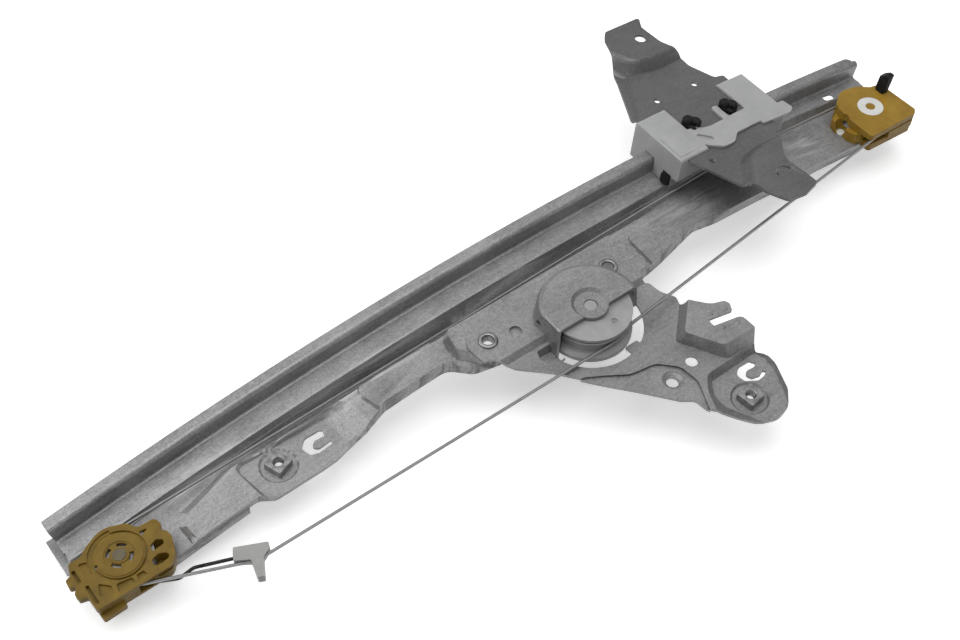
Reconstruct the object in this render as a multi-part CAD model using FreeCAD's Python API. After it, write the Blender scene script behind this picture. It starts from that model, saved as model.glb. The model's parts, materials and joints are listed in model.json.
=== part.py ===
import FreeCAD, Part
import math
import os

# Cable window regulator of a car door, seen as it lies on its back.
# Origin: the drum's spindle axis, at the top face of the motor plate.
# +X runs along the guide rail towards its upper end, +Y across to the guide flange,
# +Z along the drum axis towards the window glass. All sizes are in millimetres.

V = FreeCAD.Vector
NODES = {}

# Guide rail: a pressed steel strip, bowed to the curve of the glass
RAIL_RADIUS = 1373.0
RAIL_APEX_X = 22.0
RAIL_LOW_X = -247.5
RAIL_HIGH_X = 237.5
RAIL_SHEET = 1.2
STRIP_LEVEL = 2.8
WEB_LEVEL = -2.0
LIP_LEVEL = 12.3
SKIRT_LEVEL = -8.0
FLANGE_Y = 55.2
LIP_EDGE_Y = 61.7
WEB_JOINT_Y = 50.0
STRIP_EDGE_Y = 46.8
STEP_FOOT_Y = 44.2
BEND_RADIUS = 2.4
LIP_CORNER_R = 3.5

# Cable and the wheels that it runs on
CABLE_R = 0.75
CABLE_GAP = 0.3
DRUM_WIND_R = 17.7
PULLEY_WIND_R = 13.4
PULLEY_RIM_R = PULLEY_WIND_R + 1.0
CAVITY_R = PULLEY_RIM_R + 0.5
UPPER_PULLEY = (217.2, 26.0)
LOWER_PULLEY = (-231.0, 26.3)
UPPER_CABLE_Z = -8.5
LOWER_CABLE_Z = -15.9
UPPER_EXIT_Z = 8.8
LOWER_EXIT_Z = 4.2
ANCHOR_X = 122.0
ANCHOR_Y = 40.2
ANCHOR_Z = 0.9
CLIP_POINT = (-186.0, -9.5, -12.0)
GUTTER_DEPTH = 2.6
T_CLIP = [(-191.5, 0.9, 0.5), (-193.3, -2.1, 0.8), (-194.5, -4.7, 0.8), (-188.3, -8.4, 0.8), (-188.8, -10.8, 0.5),
          (-190.4, -17.1, 0.8), (-187.6, -18.5, 0.8), (-183.3, -10.4, 0.8), (-180.5, -8.9, 0.8), (-178.8, -7.9, 0.5),
          (-178.0, -5.4, 0.6)]
SOFT_STEPS = 8

# Motor plate
PLATE_SHEET = 1.5
SEAT_LEVEL = 2.5
WELL_LEVEL = -5.0
DECK_LEVEL = 8.0
PLATE_HOLE_R = 26.0
DOME_TOP = 14.8
DOME_R = 24.4
DOME_DISH_R = 7.7
DOME_DISH_DEPTH = 1.6
DOME_EYE_R = 3.3
WINDOW_Y = -4.6

# Drum
DRUM_LOW_Z = -3.0
DRUM_HIGH_Z = 11.6
DRUM_RIM_R = 19.6
DRUM_SKIRT_R = 20.6
DRUM_BAY_GAP = 1.4
RAIL_DRUM_BAY_R = DRUM_SKIRT_R + DRUM_BAY_GAP
DRUM_HUB_CLEAR = 0.05
SOCKET_R = 5.0
SOCKET_DEPTH = 9.0

# Carrier: a nylon slider on the guide flange and the steel plate that lifts the glass
CARRIER_X = 120.0
SLIDER_LOW_X = 87.0
SLIDER_HIGH_X = 158.5
SLIDER_TOP = 24.0
LIFT_LEVEL = 22.5
LIFT_SHEET = 1.5
LOBE_LEVEL = 28.5
SLIDE_GAP = 0.3

# Fasteners
NUT_AF = 9.0
NUT_CORNER_R = 6.1
RAIL_NUT_TURN = 20.0
PLATE_NUT_TURN = 8.0
NUT_HEIGHT = 4.0
NUT_BORE_R = 2.1
NUT_HOLE_R = 2.9
RIVET_R = 3.9
RIVET_BORE_R = 2.6
SCREW_HOLE_R = 3.0

RAIL_AXIS = V(RAIL_APEX_X, 0, -RAIL_RADIUS)
RAIL_PLATE_SEAT = SEAT_LEVEL - PLATE_SHEET


def arc_angle(x):
    """Angle in degrees of the rail's bow at the station x."""
    return math.degrees(math.asin((x - RAIL_APEX_X) / RAIL_RADIUS))


def arc_z(x, level=0.0):
    """Height of a level that follows the rail's bow, at the station x."""
    radius = RAIL_RADIUS + level
    return math.sqrt(radius ** 2 - (x - RAIL_APEX_X) ** 2) - RAIL_RADIUS


def offset_corners(corners, grow):
    """Moves each side of a counter-clockwise polygon outwards by grow."""
    moved = []
    count = len(corners)
    for i, (x, y, r) in enumerate(corners):
        before = corners[i - 1]
        after = corners[(i + 1) % count]
        d1 = V(x - before[0], y - before[1], 0).normalize()
        d2 = V(after[0] - x, after[1] - y, 0).normalize()
        n1 = V(d1.y, -d1.x, 0)
        n2 = V(d2.y, -d2.x, 0)
        bisector = (n1 + n2).normalize()
        reach = grow / max(bisector.dot(n1), 0.2)
        turn = d1.x * d2.y - d1.y * d2.x
        radius = 0.0
        if r > 0:
            radius = max(r + (grow if turn > 0 else -grow), 0.2)
        moved.append((x + bisector.x * reach, y + bisector.y * reach, radius))
    return moved


def rounded_wire(corners, z=0.0, grow=0.0):
    """Closed wire through (x, y, corner radius) points, with arcs at the corners."""
    points = offset_corners(corners, grow) if grow else corners
    count = len(points)
    ends = []
    for i, (x, y, r) in enumerate(points):
        here = V(x, y, z)
        before = V(points[i - 1][0], points[i - 1][1], z)
        after = V(points[(i + 1) % count][0], points[(i + 1) % count][1], z)
        d1 = (before - here).normalize()
        d2 = (after - here).normalize()
        half = 0.5 * math.acos(max(-1.0, min(1.0, d1.dot(d2))))
        if r <= 0 or half > math.radians(89.8):
            ends.append((here, None, here))
            continue
        room = 0.49 * min((before - here).Length, (after - here).Length)
        reach = min(r / math.tan(half), room)
        radius = reach * math.tan(half)
        centre = here + (d1 + d2).normalize() * (radius / math.sin(half))
        middle = centre + (here - centre).normalize() * radius
        ends.append((here + d1 * reach, middle, here + d2 * reach))
    edges = []
    for i, (start, middle, stop) in enumerate(ends):
        if middle is not None:
            edges.append(Part.Arc(start, middle, stop).toShape())
        following = ends[(i + 1) % count][0]
        if (following - stop).Length > 1e-6:
            edges.append(Part.LineSegment(stop, following).toShape())
    return Part.Wire(edges)


def prism(corners, low, high, grow=0.0):
    """Upright block over a rounded outline."""
    face = Part.Face(rounded_wire(corners, low, grow))
    return face.extrude(V(0, 0, high - low))


def frustum(corners, low, high, grow_high):
    """Block whose outline grows, or shrinks, from its low to its high end."""
    wires = [rounded_wire(corners, low), rounded_wire(corners, high, grow_high)]
    return Part.makeLoft(wires, True, True)


def tapered(low_corners, low, high_corners, high):
    """Block between two outlines with the same number of corners."""
    wires = [rounded_wire(low_corners, low), rounded_wire(high_corners, high)]
    return Part.makeLoft(wires, True, True)


def soft_pad(corners, low, high, run):
    """Raised pad whose walls leave the sheet and meet its top in soft bends."""
    wires = []
    for k in range(SOFT_STEPS + 1):
        share = k / SOFT_STEPS
        rise = 0.5 - 0.5 * math.cos(math.pi * share)
        wires.append(rounded_wire(corners, low + (high - low) * rise, run * (1 - share)))
    return Part.makeLoft(wires, True, True)


def pad(corners, low, high, run):
    """Raised pad: its top has the outline, and its walls spread downwards by run."""
    wires = [rounded_wire(corners, low, run), rounded_wire(corners, high)]
    return Part.makeLoft(wires, True, True)


def well(corners, floor, high, run):
    """Cutter of a sunk area: its floor has the outline, and its walls spread upwards."""
    depth = high - floor
    return frustum(corners, floor, high, run * depth)


def cylinder(radius, low, high, x=0.0, y=0.0):
    """Upright cylinder between two heights."""
    return Part.makeCylinder(radius, high - low, V(x, y, low))


def tube(outer, inner, low, high, x=0.0, y=0.0):
    """Upright tube between two heights."""
    return cylinder(outer, low, high, x, y).cut(cylinder(inner, low - 1, high + 1, x, y))


def sector(outer, inner, low, high, centre, start, sweep):
    """Part of a tube, from a start angle over a sweep in degrees."""
    middle = V(centre[0], centre[1], low)
    ring = Part.makeCylinder(outer, high - low, middle, V(0, 0, 1), sweep)
    ring = ring.cut(Part.makeCylinder(inner, high - low, middle, V(0, 0, 1), 360))
    ring.rotate(middle, V(0, 0, 1), start)
    return ring


def box(low, high):
    """Box between two corners."""
    return Part.makeBox(high[0] - low[0], high[1] - low[1], high[2] - low[2], V(*low))


def joined(shapes):
    """One clean solid out of touching shapes."""
    whole = shapes[0].fuse(shapes[1:])
    return whole.removeSplitter()


def turned(points, x=0.0, y=0.0):
    """Solid of revolution about an upright axis, from (radius, z) points."""
    corners = [V(r, 0, z) for r, z in points]
    face = Part.Face(Part.makePolygon(corners + [corners[0]]))
    solid = face.revolve(V(0, 0, 0), V(0, 0, 1), 360)
    solid.translate(V(x, y, 0))
    return solid


def on_bow(shape, x):
    """Tilts a shape, modelled level at the station x, to the rail's bow there."""
    moved = shape.copy()
    moved.translate(V(RAIL_APEX_X - x, 0, 0))
    moved.rotate(RAIL_AXIS, V(0, 1, 0), arc_angle(x))
    return moved


def bowed(corners, x_low, x_high):
    """Sweeps a (y, level, corner radius) section along the rail's bow."""
    wire = rounded_wire(corners)
    wire.Placement = FreeCAD.Placement(V(RAIL_APEX_X, 0, 0), FreeCAD.Rotation(V(1, 1, 1), 120))
    face = Part.Face(wire)
    face.rotate(RAIL_AXIS, V(0, 1, 0), arc_angle(x_low))
    return face.revolve(RAIL_AXIS, V(0, 1, 0), arc_angle(x_high) - arc_angle(x_low))


def round_path(points, radii):
    """Straight runs joined by tangent arcs: (start, end) runs and (centre, axis, turn) arcs."""
    pieces = []
    start = points[0]
    for before, here, after, radius in zip(points, points[1:], points[2:], radii):
        d1 = (before - here).normalize()
        d2 = (after - here).normalize()
        half = 0.5 * math.acos(max(-1.0, min(1.0, d1.dot(d2))))
        reach = radius / math.tan(half)
        first = here + d1 * reach
        centre = here + (d1 + d2).normalize() * (radius / math.sin(half))
        axis = (d1 * -1).cross(d2).normalize()
        pieces.append(("run", start, first))
        pieces.append(("arc", first, centre, axis, 180.0 - math.degrees(2 * half), d1 * -1))
        start = here + d2 * reach
    pieces.append(("run", start, points[-1]))
    return pieces


def cord(points, radii, radius):
    """Round cord along a path, with its length worked out beside it."""
    solids = []
    length = 0.0
    for piece in round_path(points, radii):
        if piece[0] == "run":
            run = piece[2] - piece[1]
            length += run.Length
            if run.Length > 1e-4:
                solids.append(Part.makeCylinder(radius, run.Length, piece[1], run))
        else:
            first, centre, axis, turn, heading = piece[1:]
            ring = Part.Face(Part.Wire(Part.makeCircle(radius, first, heading)))
            solids.append(ring.revolve(centre, axis, turn))
            length += math.radians(turn) * (first - centre).Length
    solid = joined(solids)
    section = math.pi * radius ** 2
    print("cord length %.1f, volume ratio %.4f" % (length, solid.Volume / (section * length)))
    return solid


def wheel_corners(centre, radius, z, start, stop, count):
    """Corner points of a path that wraps a wheel, between two angles in degrees."""
    step = math.radians(stop - start) / count
    reach = radius / math.cos(step / 2)
    corners = []
    for k in range(count):
        angle = math.radians(start) + step * (k + 0.5)
        corners.append(V(centre[0] + reach * math.cos(angle), centre[1] + reach * math.sin(angle), z))
    return corners


def tangent_angle(centre, radius, point, side):
    """Angle on a wheel at which the line from an outside point touches it."""
    dx = point[0] - centre[0]
    dy = point[1] - centre[1]
    toward = math.degrees(math.atan2(dy, dx))
    return toward + side * math.degrees(math.acos(radius / math.hypot(dx, dy)))


def inner_run_z(x):
    """Height of the cable's lower inner run, a straight line below the bow of the rail."""
    slope = (ANCHOR_Z - LOWER_CABLE_Z) / (ANCHOR_X - LOWER_PULLEY[0])
    return LOWER_CABLE_Z + slope * (x - LOWER_PULLEY[0])


# Guide rail

RAIL_NEAR_EDGE = [
    (RAIL_LOW_X, 18, 3), (-212, 17, 8), (-169, 17.4, 5), (-163, 13.4, 4), (-131, 14.2, 10), (-121, 16.2, 10),
    (-112, 18, 8), (-100, 22, 10), (-80, 22.3, 10), (-65, 22.3, 8), (-56, 13, 6), (-44, 10, 6),
    (42, 9.5, 6), (56, 12, 10), (72, 16, 10), (84, 19, 10), (98, 17, 10), (150, 16.5, 10),
    (RAIL_HIGH_X, 16.5, 4)]

MOTOR_SEAT = [
    (-59, 23, 6), (-50, 12, 6), (-44, 5, 4), (40, 5, 4), (44, 10, 6), (44.5, 34.5, 8),
    (38, 36.2, 8), (-57, 36.2, 10)]
LEFT_SHELF = [(-104, 23.5, 4), (-98, 14, 4), (-62, 14, 4), (-65, 36.4, 5), (-107, 37.4, 6)]
NUT_SHELF = [(-163.8, 6, 2), (-126.5, 6, 2), (-126.1, 13.4, 3), (-121.2, 19.0, 4), (-123.7, 35.8, 3),
             (-169.3, 36.3, 3)]
NUT_SHELF_MOUTH = [(-171.5, 6, 2), (-114, 6, 2), (-113, 12, 6), (-109.5, 18, 8), (-111.5, 37.4, 6),
                   (-173.5, 37.4, 3)]
LOW_PANEL = [(-200.8, 29.4, 5), (-198.6, 4, 2), (-160, 4, 2), (-160, 39.5, 2)]
LOW_PANEL_FOOT = [(-205.2, 35.2, 6), (-203.4, 4, 2), (-160, 4, 2), (-160, 42.5, 2)]
RIGHT_SHELF = [(49, 6, 3), (74, 12, 3), (74, 19, 3), (70, 28, 4), (50, 32, 4)]
RAIL_NUT = (-153.0, 27.0)
RAIL_HOOK = [(-127.4, 31.2, 0.6), (-129, 32.2, 1), (-136.4, 32.2, 3), (-140.2, 28.4, 2.5), (-138.8, 23.2, 2),
             (-134.8, 22.0, 1.5), (-127.2, 22.8, 0.5), (-127.3, 24.6, 0.4), (-133.6, 24.0, 1),
             (-136.4, 26.0, 1.5), (-133.4, 28.6, 1.5), (-128.2, 28.2, 0.5)]
END_SLOT = [(207.4, 47.6, 2), (214.4, 46.8, 2), (215.6, 50.8, 2), (208.4, 51.4, 2)]
END_TAB = [(RAIL_LOW_X - 3.6, 41.5), (RAIL_LOW_X + 1.5, 61.5)]
END_TAB_LEVEL = -3.2
RIVET_SPOTS = [(-45.4, 17.3), (27.8, 19.1)]
LOCATING_HOLE = (-31.7, 14.5)
SHELF_TILT_X = {"panel": -192.0, "left": -85.0, "right": 61.0}
NUT_SHELF_Z = -15.4
NUT_MOUTH_Z = -8.4
SKIRT_RELIEF = [(-174, -10, -40), (-114, 20, NUT_SHELF_Z - RAIL_SHEET - 0.9)]
PANEL_DEPTH = 3.0
LEFT_SHELF_LEVEL = 0.2
RIGHT_SHELF_LEVEL = -0.4
NUT_DIMPLE_R = 8.0
NUT_DIMPLE_DEPTH = 1.0


def gutter(drop):
    """Cutter of the straight gutter in the web under the cable's inner run."""
    x_low = -215.0
    x_high = ANCHOR_X
    foot = inner_run_z(x_low) - GUTTER_DEPTH - drop
    rise = inner_run_z(x_high) - inner_run_z(x_low)
    height = 30.0
    section = [V(x_low, 37.6, foot), V(x_low, 42.4, foot), V(x_low, 42.4 + 0.42 * height, foot + height),
               V(x_low, 37.6 - 0.3 * height, foot + height)]
    face = Part.Face(Part.makePolygon(section + [section[0]]))
    return face.extrude(V(x_high - x_low, 0, rise))


def web_block(drop, bottom, corners):
    """Solid below the web's top face, lowered by drop, inside an outline."""
    near = -6.0
    section = [
        (near, bottom, 0), (WEB_JOINT_Y, bottom, 0), (WEB_JOINT_Y, STRIP_LEVEL - drop, 0),
        (STRIP_EDGE_Y, STRIP_LEVEL - drop, 1.5), (STEP_FOOT_Y, WEB_LEVEL - drop, 1.5),
        (near, WEB_LEVEL - drop, 0)]
    block = bowed(section, RAIL_LOW_X - 20, RAIL_HIGH_X + 20)
    left = on_bow(pad(LEFT_SHELF, -10 - drop, LEFT_SHELF_LEVEL - drop, 3.5), SHELF_TILT_X["left"])
    right = on_bow(pad(RIGHT_SHELF, -8 - drop, RIGHT_SHELF_LEVEL - drop, 2.5), SHELF_TILT_X["right"])
    seat = pad(MOTOR_SEAT, -9 - drop, RAIL_PLATE_SEAT - drop, 4.0)
    nut = tapered(NUT_SHELF, NUT_SHELF_Z - drop, NUT_SHELF_MOUTH, NUT_MOUTH_Z - drop)
    dimple = Part.makeCone(NUT_DIMPLE_R, NUT_DIMPLE_R + 11, 11,
                           V(RAIL_NUT[0], RAIL_NUT[1], NUT_SHELF_Z - NUT_DIMPLE_DEPTH - drop))
    panel = on_bow(tapered(LOW_PANEL_FOOT, -PANEL_DEPTH - drop, LOW_PANEL, -drop), SHELF_TILT_X["panel"])
    block = block.fuse(panel).cut([nut, dimple])
    block = block.fuse([left, right, seat]).cut(gutter(drop))
    floor_trim = bowed([(near - 30, bottom - 60, 0), (90, bottom - 60, 0), (90, bottom, 0),
                        (near - 30, bottom, 0)], RAIL_LOW_X - 40, RAIL_HIGH_X + 40)
    return block.common(prism(corners, -120, 60)).cut(floor_trim)


def guide_rail():
    """Pressed rail: guide flange, running strip, cable gutter, pads and edge skirt."""
    t = RAIL_SHEET
    flange = bowed(
        [(WEB_JOINT_Y, STRIP_LEVEL - t, 0), (FLANGE_Y + t, STRIP_LEVEL - t, BEND_RADIUS),
         (FLANGE_Y + t, LIP_LEVEL - t, BEND_RADIUS - t), (LIP_EDGE_Y, LIP_LEVEL - t, 0),
         (LIP_EDGE_Y, LIP_LEVEL, 0), (FLANGE_Y, LIP_LEVEL, BEND_RADIUS),
         (FLANGE_Y, STRIP_LEVEL, BEND_RADIUS - t), (WEB_JOINT_Y, STRIP_LEVEL, 0)],
        RAIL_LOW_X, RAIL_HIGH_X)
    outline = RAIL_NEAR_EDGE + [(RAIL_HIGH_X, WEB_JOINT_Y, 0), (RAIL_LOW_X, WEB_JOINT_Y, 0)]
    inner = RAIL_NEAR_EDGE[:-1] + [(RAIL_HIGH_X + 15, RAIL_NEAR_EDGE[-1][1], 0),
                                   (RAIL_HIGH_X + 15, WEB_JOINT_Y + 10, 0), (RAIL_LOW_X, WEB_JOINT_Y + 10, 0)]
    skin = web_block(0.0, SKIRT_LEVEL, outline)
    core = web_block(t, SKIRT_LEVEL - 20, offset_corners(inner, -t))
    tab_top = arc_z(RAIL_LOW_X, END_TAB_LEVEL)
    tab = box((*END_TAB[0], tab_top - t), (*END_TAB[1], tab_top))
    rail = joined([skin.cut(core), flange, tab])
    corner_z = arc_z(RAIL_HIGH_X, LIP_LEVEL)
    corner = box((RAIL_HIGH_X - LIP_CORNER_R, LIP_EDGE_Y - LIP_CORNER_R, corner_z - 8),
                 (RAIL_HIGH_X + 5, LIP_EDGE_Y + 5, corner_z + 12))
    rounder = cylinder(LIP_CORNER_R, corner_z - 9, corner_z + 13, RAIL_HIGH_X - LIP_CORNER_R,
                       LIP_EDGE_Y - LIP_CORNER_R)
    rail = rail.cut(corner.cut(rounder))
    cuts = [cylinder(RIVET_R, -20, 20, x, y) for x, y in RIVET_SPOTS]
    cuts.append(cylinder(RAIL_DRUM_BAY_R, -20, 20))
    cuts.append(cylinder(NUT_HOLE_R, -40, 40, *RAIL_NUT))
    cuts.append(prism(RAIL_HOOK, -40, 40))
    cuts.append(prism(END_SLOT, -60, 60))
    cuts.append(box(*SKIRT_RELIEF))
    cuts.append(cylinder(LOWER_AXLE_R, -60, 0, *LOWER_PULLEY))
    cuts.append(cylinder(UPPER_POST_R, -60, 0, *UPPER_PULLEY))
    cuts.append(cylinder(UPPER_PIN_R, -60, 0, *UPPER_PIN))
    return rail.cut(cuts)


# Motor plate with the drawn dome that covers the drum

PLATE_OUTLINE = [
    (-54, 8.6, 2), (-51, 8.6, 3), (-45.5, 2.6, 4), (-43.5, -1.2, 3), (-31, -13, 30), (-17.6, -29.6, 0),
    (-5.7, -43.3, 0), (6, -57.6, 4), (11.4, -61.4, 4), (12.4, -68.8, 4), (20.8, -78.8, 20), (26.6, -85.2, 8),
    (37, -89.2, 9), (45.6, -87, 5), (50.6, -80.9, 9), (56.0, -67.6, 9), (56.6, -61, 5), (53.6, -55.8, 3), (56, -51, 2.5),
    (55.6, -42.6, 3), (41, -39.6, 0.4), (41.3, -35.4, 0.4), (54, -38, 1), (56.2, -34, 2.4),
    (55, -31.4, 2), (48.6, -29.2, 9), (40.8, -19.8, 3), (43.6, -12.4, 3), (39.6, -5.6, 10),
    (38.8, 1.4, 2), (36.5, 3.2, 2), (38.8, 9, 3), (37.4, 17, 30), (33, 26.4, 12), (25, 30.6, 12),
    (18, 28.4, 4), (0, 26.2, 20), (-30, 26.7, 1), (-31, 28.4, 0.8), (-36, 27.8, 1), (-41, 30.2, 5),
    (-50, 28.2, 9), (-55.6, 20, 8)]
DECK_TOP = [(27.8, -34.4, 2), (37.4, -50.4, 3), (64, -51.4, 2), (64, -0.6, 2)]
DECK_FOOT = [(25.5, -32.1, 2), (38.4, -53.6, 3), (64, -54.6, 2), (64, 3.9, 2)]
DECK_DOTS = [(44.6, -33.7), (52.2, -35.3), (51.5, -44.5), (44.0, -42.6)]
DOT_R = 1.1
DOT_HEIGHT = 0.5
NUT_WELL = [(53.6, -56.0, 2), (26.6, -56.4, 3), (22.2, -63.5, 6), (22.2, -70.5, 8), (27.5, -80.5, 8),
            (33, -93, 1), (44, -93, 1), (46.6, -85.2, 3), (49.6, -80.3, 3), (54.8, -67.7, 4), (55.6, -61.2, 3)]
PLATE_HOOK = [(50.4, -60.4, 0.4), (48.8, -57.8, 1), (42.6, -57.6, 3), (38.4, -60.6, 2.5), (39.2, -65.2, 2),
              (44.6, -68.6, 2.5), (48.4, -68.2, 1), (51.2, -66.8, 0.4), (50.0, -65.6, 0.3), (47.2, -66.8, 0.8),
              (43.2, -65.8, 1.5), (42.0, -63.4, 1.5), (43.6, -61.4, 1.5), (48.2, -61.8, 0.5)]
NUT_WELL_MOUTH = [(53.9, -53.9, 2), (24.6, -54.6, 4), (18.6, -61.8, 8), (14.5, -72.5, 10), (18.5, -90, 8),
                  (25, -99, 1), (46, -97, 1), (49.0, -86.4, 3), (51.8, -81.2, 3), (57.0, -68.2, 4), (57.8, -60.4, 3)]
SHELF_WELL = [(-26, -20, 4), (-13, -27.2, 12), (-3, -33.6, 12), (10, -35.5, 8), (18.5, -44, 8),
              (19.6, -55, 8), (11, -75, 4), (-30, -60, 4)]
SHELF_WELL_LEVEL = -1.2
PLATE_NUT = (34.5, -73.5)
DRAWN_HOLE = (10.7, -47.2)
COLLAR_DEPTH = 1.8
PLAIN_HOLE = (24.1, -44.8)
DOME_FLAT_X = -22.4
POCKET = [(-30.4, -4.4, 0.8), (-24.6, -8.6, 0.8), (-21.2, -8.2, 0.5), (-21.2, -0.4, 0.5), (-29.0, -0.2, 0.8)]
POCKET_Z = -4.5
TONGUE = [(4.6, -21.0, 0.5), (11.4, -21.0, 0.5), (13.5, -28, 0.5), (5.6, -28, 0.5)]


def plate_block(drop, bottom, grow):
    """Solid below the plate's top face, lowered by drop, inside its outline."""
    base = prism(PLATE_OUTLINE, bottom, -drop, grow)
    seat_corners = [(-70, 5.2, 0), (60, 5.2, 0), (60, 50, 0), (-70, 50, 0)]
    seat = pad(seat_corners, -drop, SEAT_LEVEL - drop, 2.6)
    deck = tapered(DECK_FOOT, -drop, DECK_TOP, DECK_LEVEL - drop)
    block = base.fuse([seat.common(prism(PLATE_OUTLINE, -20, 40, grow)),
                       deck.common(prism(PLATE_OUTLINE, -40, 60, grow))])
    cuts = [
        tapered(NUT_WELL, WELL_LEVEL - drop, NUT_WELL_MOUTH, -drop),
        well(SHELF_WELL, SHELF_WELL_LEVEL - drop, 6, 0.5),
        Part.makeCone(NUT_DIMPLE_R, NUT_DIMPLE_R + 9, 9,
                      V(PLATE_NUT[0], PLATE_NUT[1], WELL_LEVEL - NUT_DIMPLE_DEPTH - drop)),
        well(POCKET, POCKET_Z - drop, 3, 0.25)]
    return block.cut(cuts)


def dome_shell(shrink):
    """Outer form of the drawn dome, or its hollow when shrunk by the sheet."""
    top = DOME_TOP - shrink
    wall = DOME_R - shrink
    foot = PLATE_HOLE_R - shrink
    form = turned([(0, -12), (foot, -12), (foot, 0), (wall + 0.4, top - 3.6), (wall - 0.6, top - 1.0),
                   (wall - 2.6, top), (0, top)])
    flat = box((DOME_FLAT_X + shrink, -40, -20), (40, 40, 40))
    return form.common(flat)


def motor_plate():
    """Pressed plate with the drum dome, its window, the deck, the nut well and its holes."""
    t = PLATE_SHEET
    sheet = plate_block(0.0, -40.0, 0.0).cut(plate_block(t, -60.0, 3.0))
    hollow = dome_shell(t)
    shell = dome_shell(0.0).cut(hollow)
    sunk = turned([(0, DOME_TOP + 5), (DOME_DISH_R + 1.5, DOME_TOP + 5), (DOME_DISH_R + 1.5, DOME_TOP),
                   (DOME_DISH_R, DOME_TOP - DOME_DISH_DEPTH), (0, DOME_TOP - DOME_DISH_DEPTH)])
    cup = turned([(0, DOME_TOP - t), (DOME_DISH_R + 2.0, DOME_TOP - t), (DOME_DISH_R, DOME_TOP - t - DOME_DISH_DEPTH),
                  (0, DOME_TOP - t - DOME_DISH_DEPTH)])
    shell = shell.fuse(cup).cut(sunk)
    window = box((-60, -60, -20), (60, WINDOW_Y, 40)).cut(cylinder(DOME_DISH_R + 0.6, DOME_TOP - 6, 60))
    shell = shell.cut(window)
    shell = shell.cut(plate_block(t, -60.0, 3.0))
    far_side = box((-60, WINDOW_Y, -20), (60, 60, 20))
    ring_hole = dome_shell(t).common(far_side).fuse(cylinder(PLATE_HOLE_R, -20, 20).cut(far_side))
    ring_hole = ring_hole.cut(prism(TONGUE, -30, 30))
    ring_hole = ring_hole.cut(box((-40, -9.8, -30), (-21.6, WINDOW_Y, 10)))
    plate = joined([sheet.cut(ring_hole), shell])
    collar = turned([(SCREW_HOLE_R, -t - 1.2 - COLLAR_DEPTH), (SCREW_HOLE_R + 1.2, -t - 1.2 - COLLAR_DEPTH),
                     (SCREW_HOLE_R + 1.2, -t - 1.2),
                     (SCREW_HOLE_R + 2.6, SHELF_WELL_LEVEL - t), (SCREW_HOLE_R + 2.6, SHELF_WELL_LEVEL),
                     (SCREW_HOLE_R, -t - 1.2)], *DRAWN_HOLE)
    cuts = [cylinder(DOME_EYE_R, -20, 40), cylinder(SCREW_HOLE_R + 1.9, -20, 20, *DRAWN_HOLE),
            cylinder(SCREW_HOLE_R, -20, 20, *PLAIN_HOLE), cylinder(SCREW_HOLE_R, -20, 20, *LOCATING_HOLE),
            cylinder(NUT_HOLE_R, -20, 20, *PLATE_NUT), prism(PLATE_HOOK, -30, 30)]
    cuts += [cylinder(RIVET_R, -20, 20, x, y) for x, y in RIVET_SPOTS]
    slit = Part.makeCylinder(1.6, 10, V(-30, 9.5, 6.5), V(1, 0, 0))
    plate = plate.cut(cuts + [slit])
    dots = [Part.makeCone(DOT_R, DOT_R * 0.5, DOT_HEIGHT, V(x, y, DECK_LEVEL)) for x, y in DECK_DOTS]
    return joined([plate, collar] + dots)


# Fasteners and pins of the frame

def weld_nut(x, y, z, turn):
    """Square weld nut with a chamfered thread bore, standing on the height z."""
    half = NUT_AF / 2
    body = box((x - half, y - half, z), (x + half, y + half, z + NUT_HEIGHT))
    body = body.common(Part.makeCone(NUT_CORNER_R + 0.5, NUT_CORNER_R, NUT_HEIGHT, V(x, y, z)))
    bore = turned([(0, z - 1), (NUT_BORE_R, z - 1), (NUT_BORE_R, z + NUT_HEIGHT - 0.5),
                   (NUT_BORE_R + 0.6, z + NUT_HEIGHT + 0.1), (0, z + NUT_HEIGHT + 0.1)], x, y)
    body.rotate(V(x, y, 0), V(0, 0, 1), turn)
    return body.cut(bore)


def weld_nuts():
    """The two weld nuts that take the door's fixing bolts."""
    rail_nut = weld_nut(*RAIL_NUT, NUT_SHELF_Z - NUT_DIMPLE_DEPTH, RAIL_NUT_TURN)
    plate_nut = weld_nut(*PLATE_NUT, WELL_LEVEL - NUT_DIMPLE_DEPTH, PLATE_NUT_TURN)
    return Part.makeCompound([rail_nut, plate_nut])


def rail_rivets():
    """Tubular rivets that join plate and rail and take the motor's screws."""
    solids = []
    low = RAIL_PLATE_SEAT - RAIL_SHEET
    for x, y in RIVET_SPOTS:
        solids.append(turned([
            (RIVET_BORE_R, low - 1.2), (RIVET_R + 1.0, low - 1.2), (RIVET_R + 1.0, low), (RIVET_R, low),
            (RIVET_R, SEAT_LEVEL), (RIVET_R + 1.0, SEAT_LEVEL), (RIVET_R + 0.6, SEAT_LEVEL + 0.9),
            (RIVET_BORE_R + 0.5, SEAT_LEVEL + 1.1), (RIVET_BORE_R, SEAT_LEVEL + 0.5)], x, y))
    return Part.makeCompound(solids)


# Drum

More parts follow.
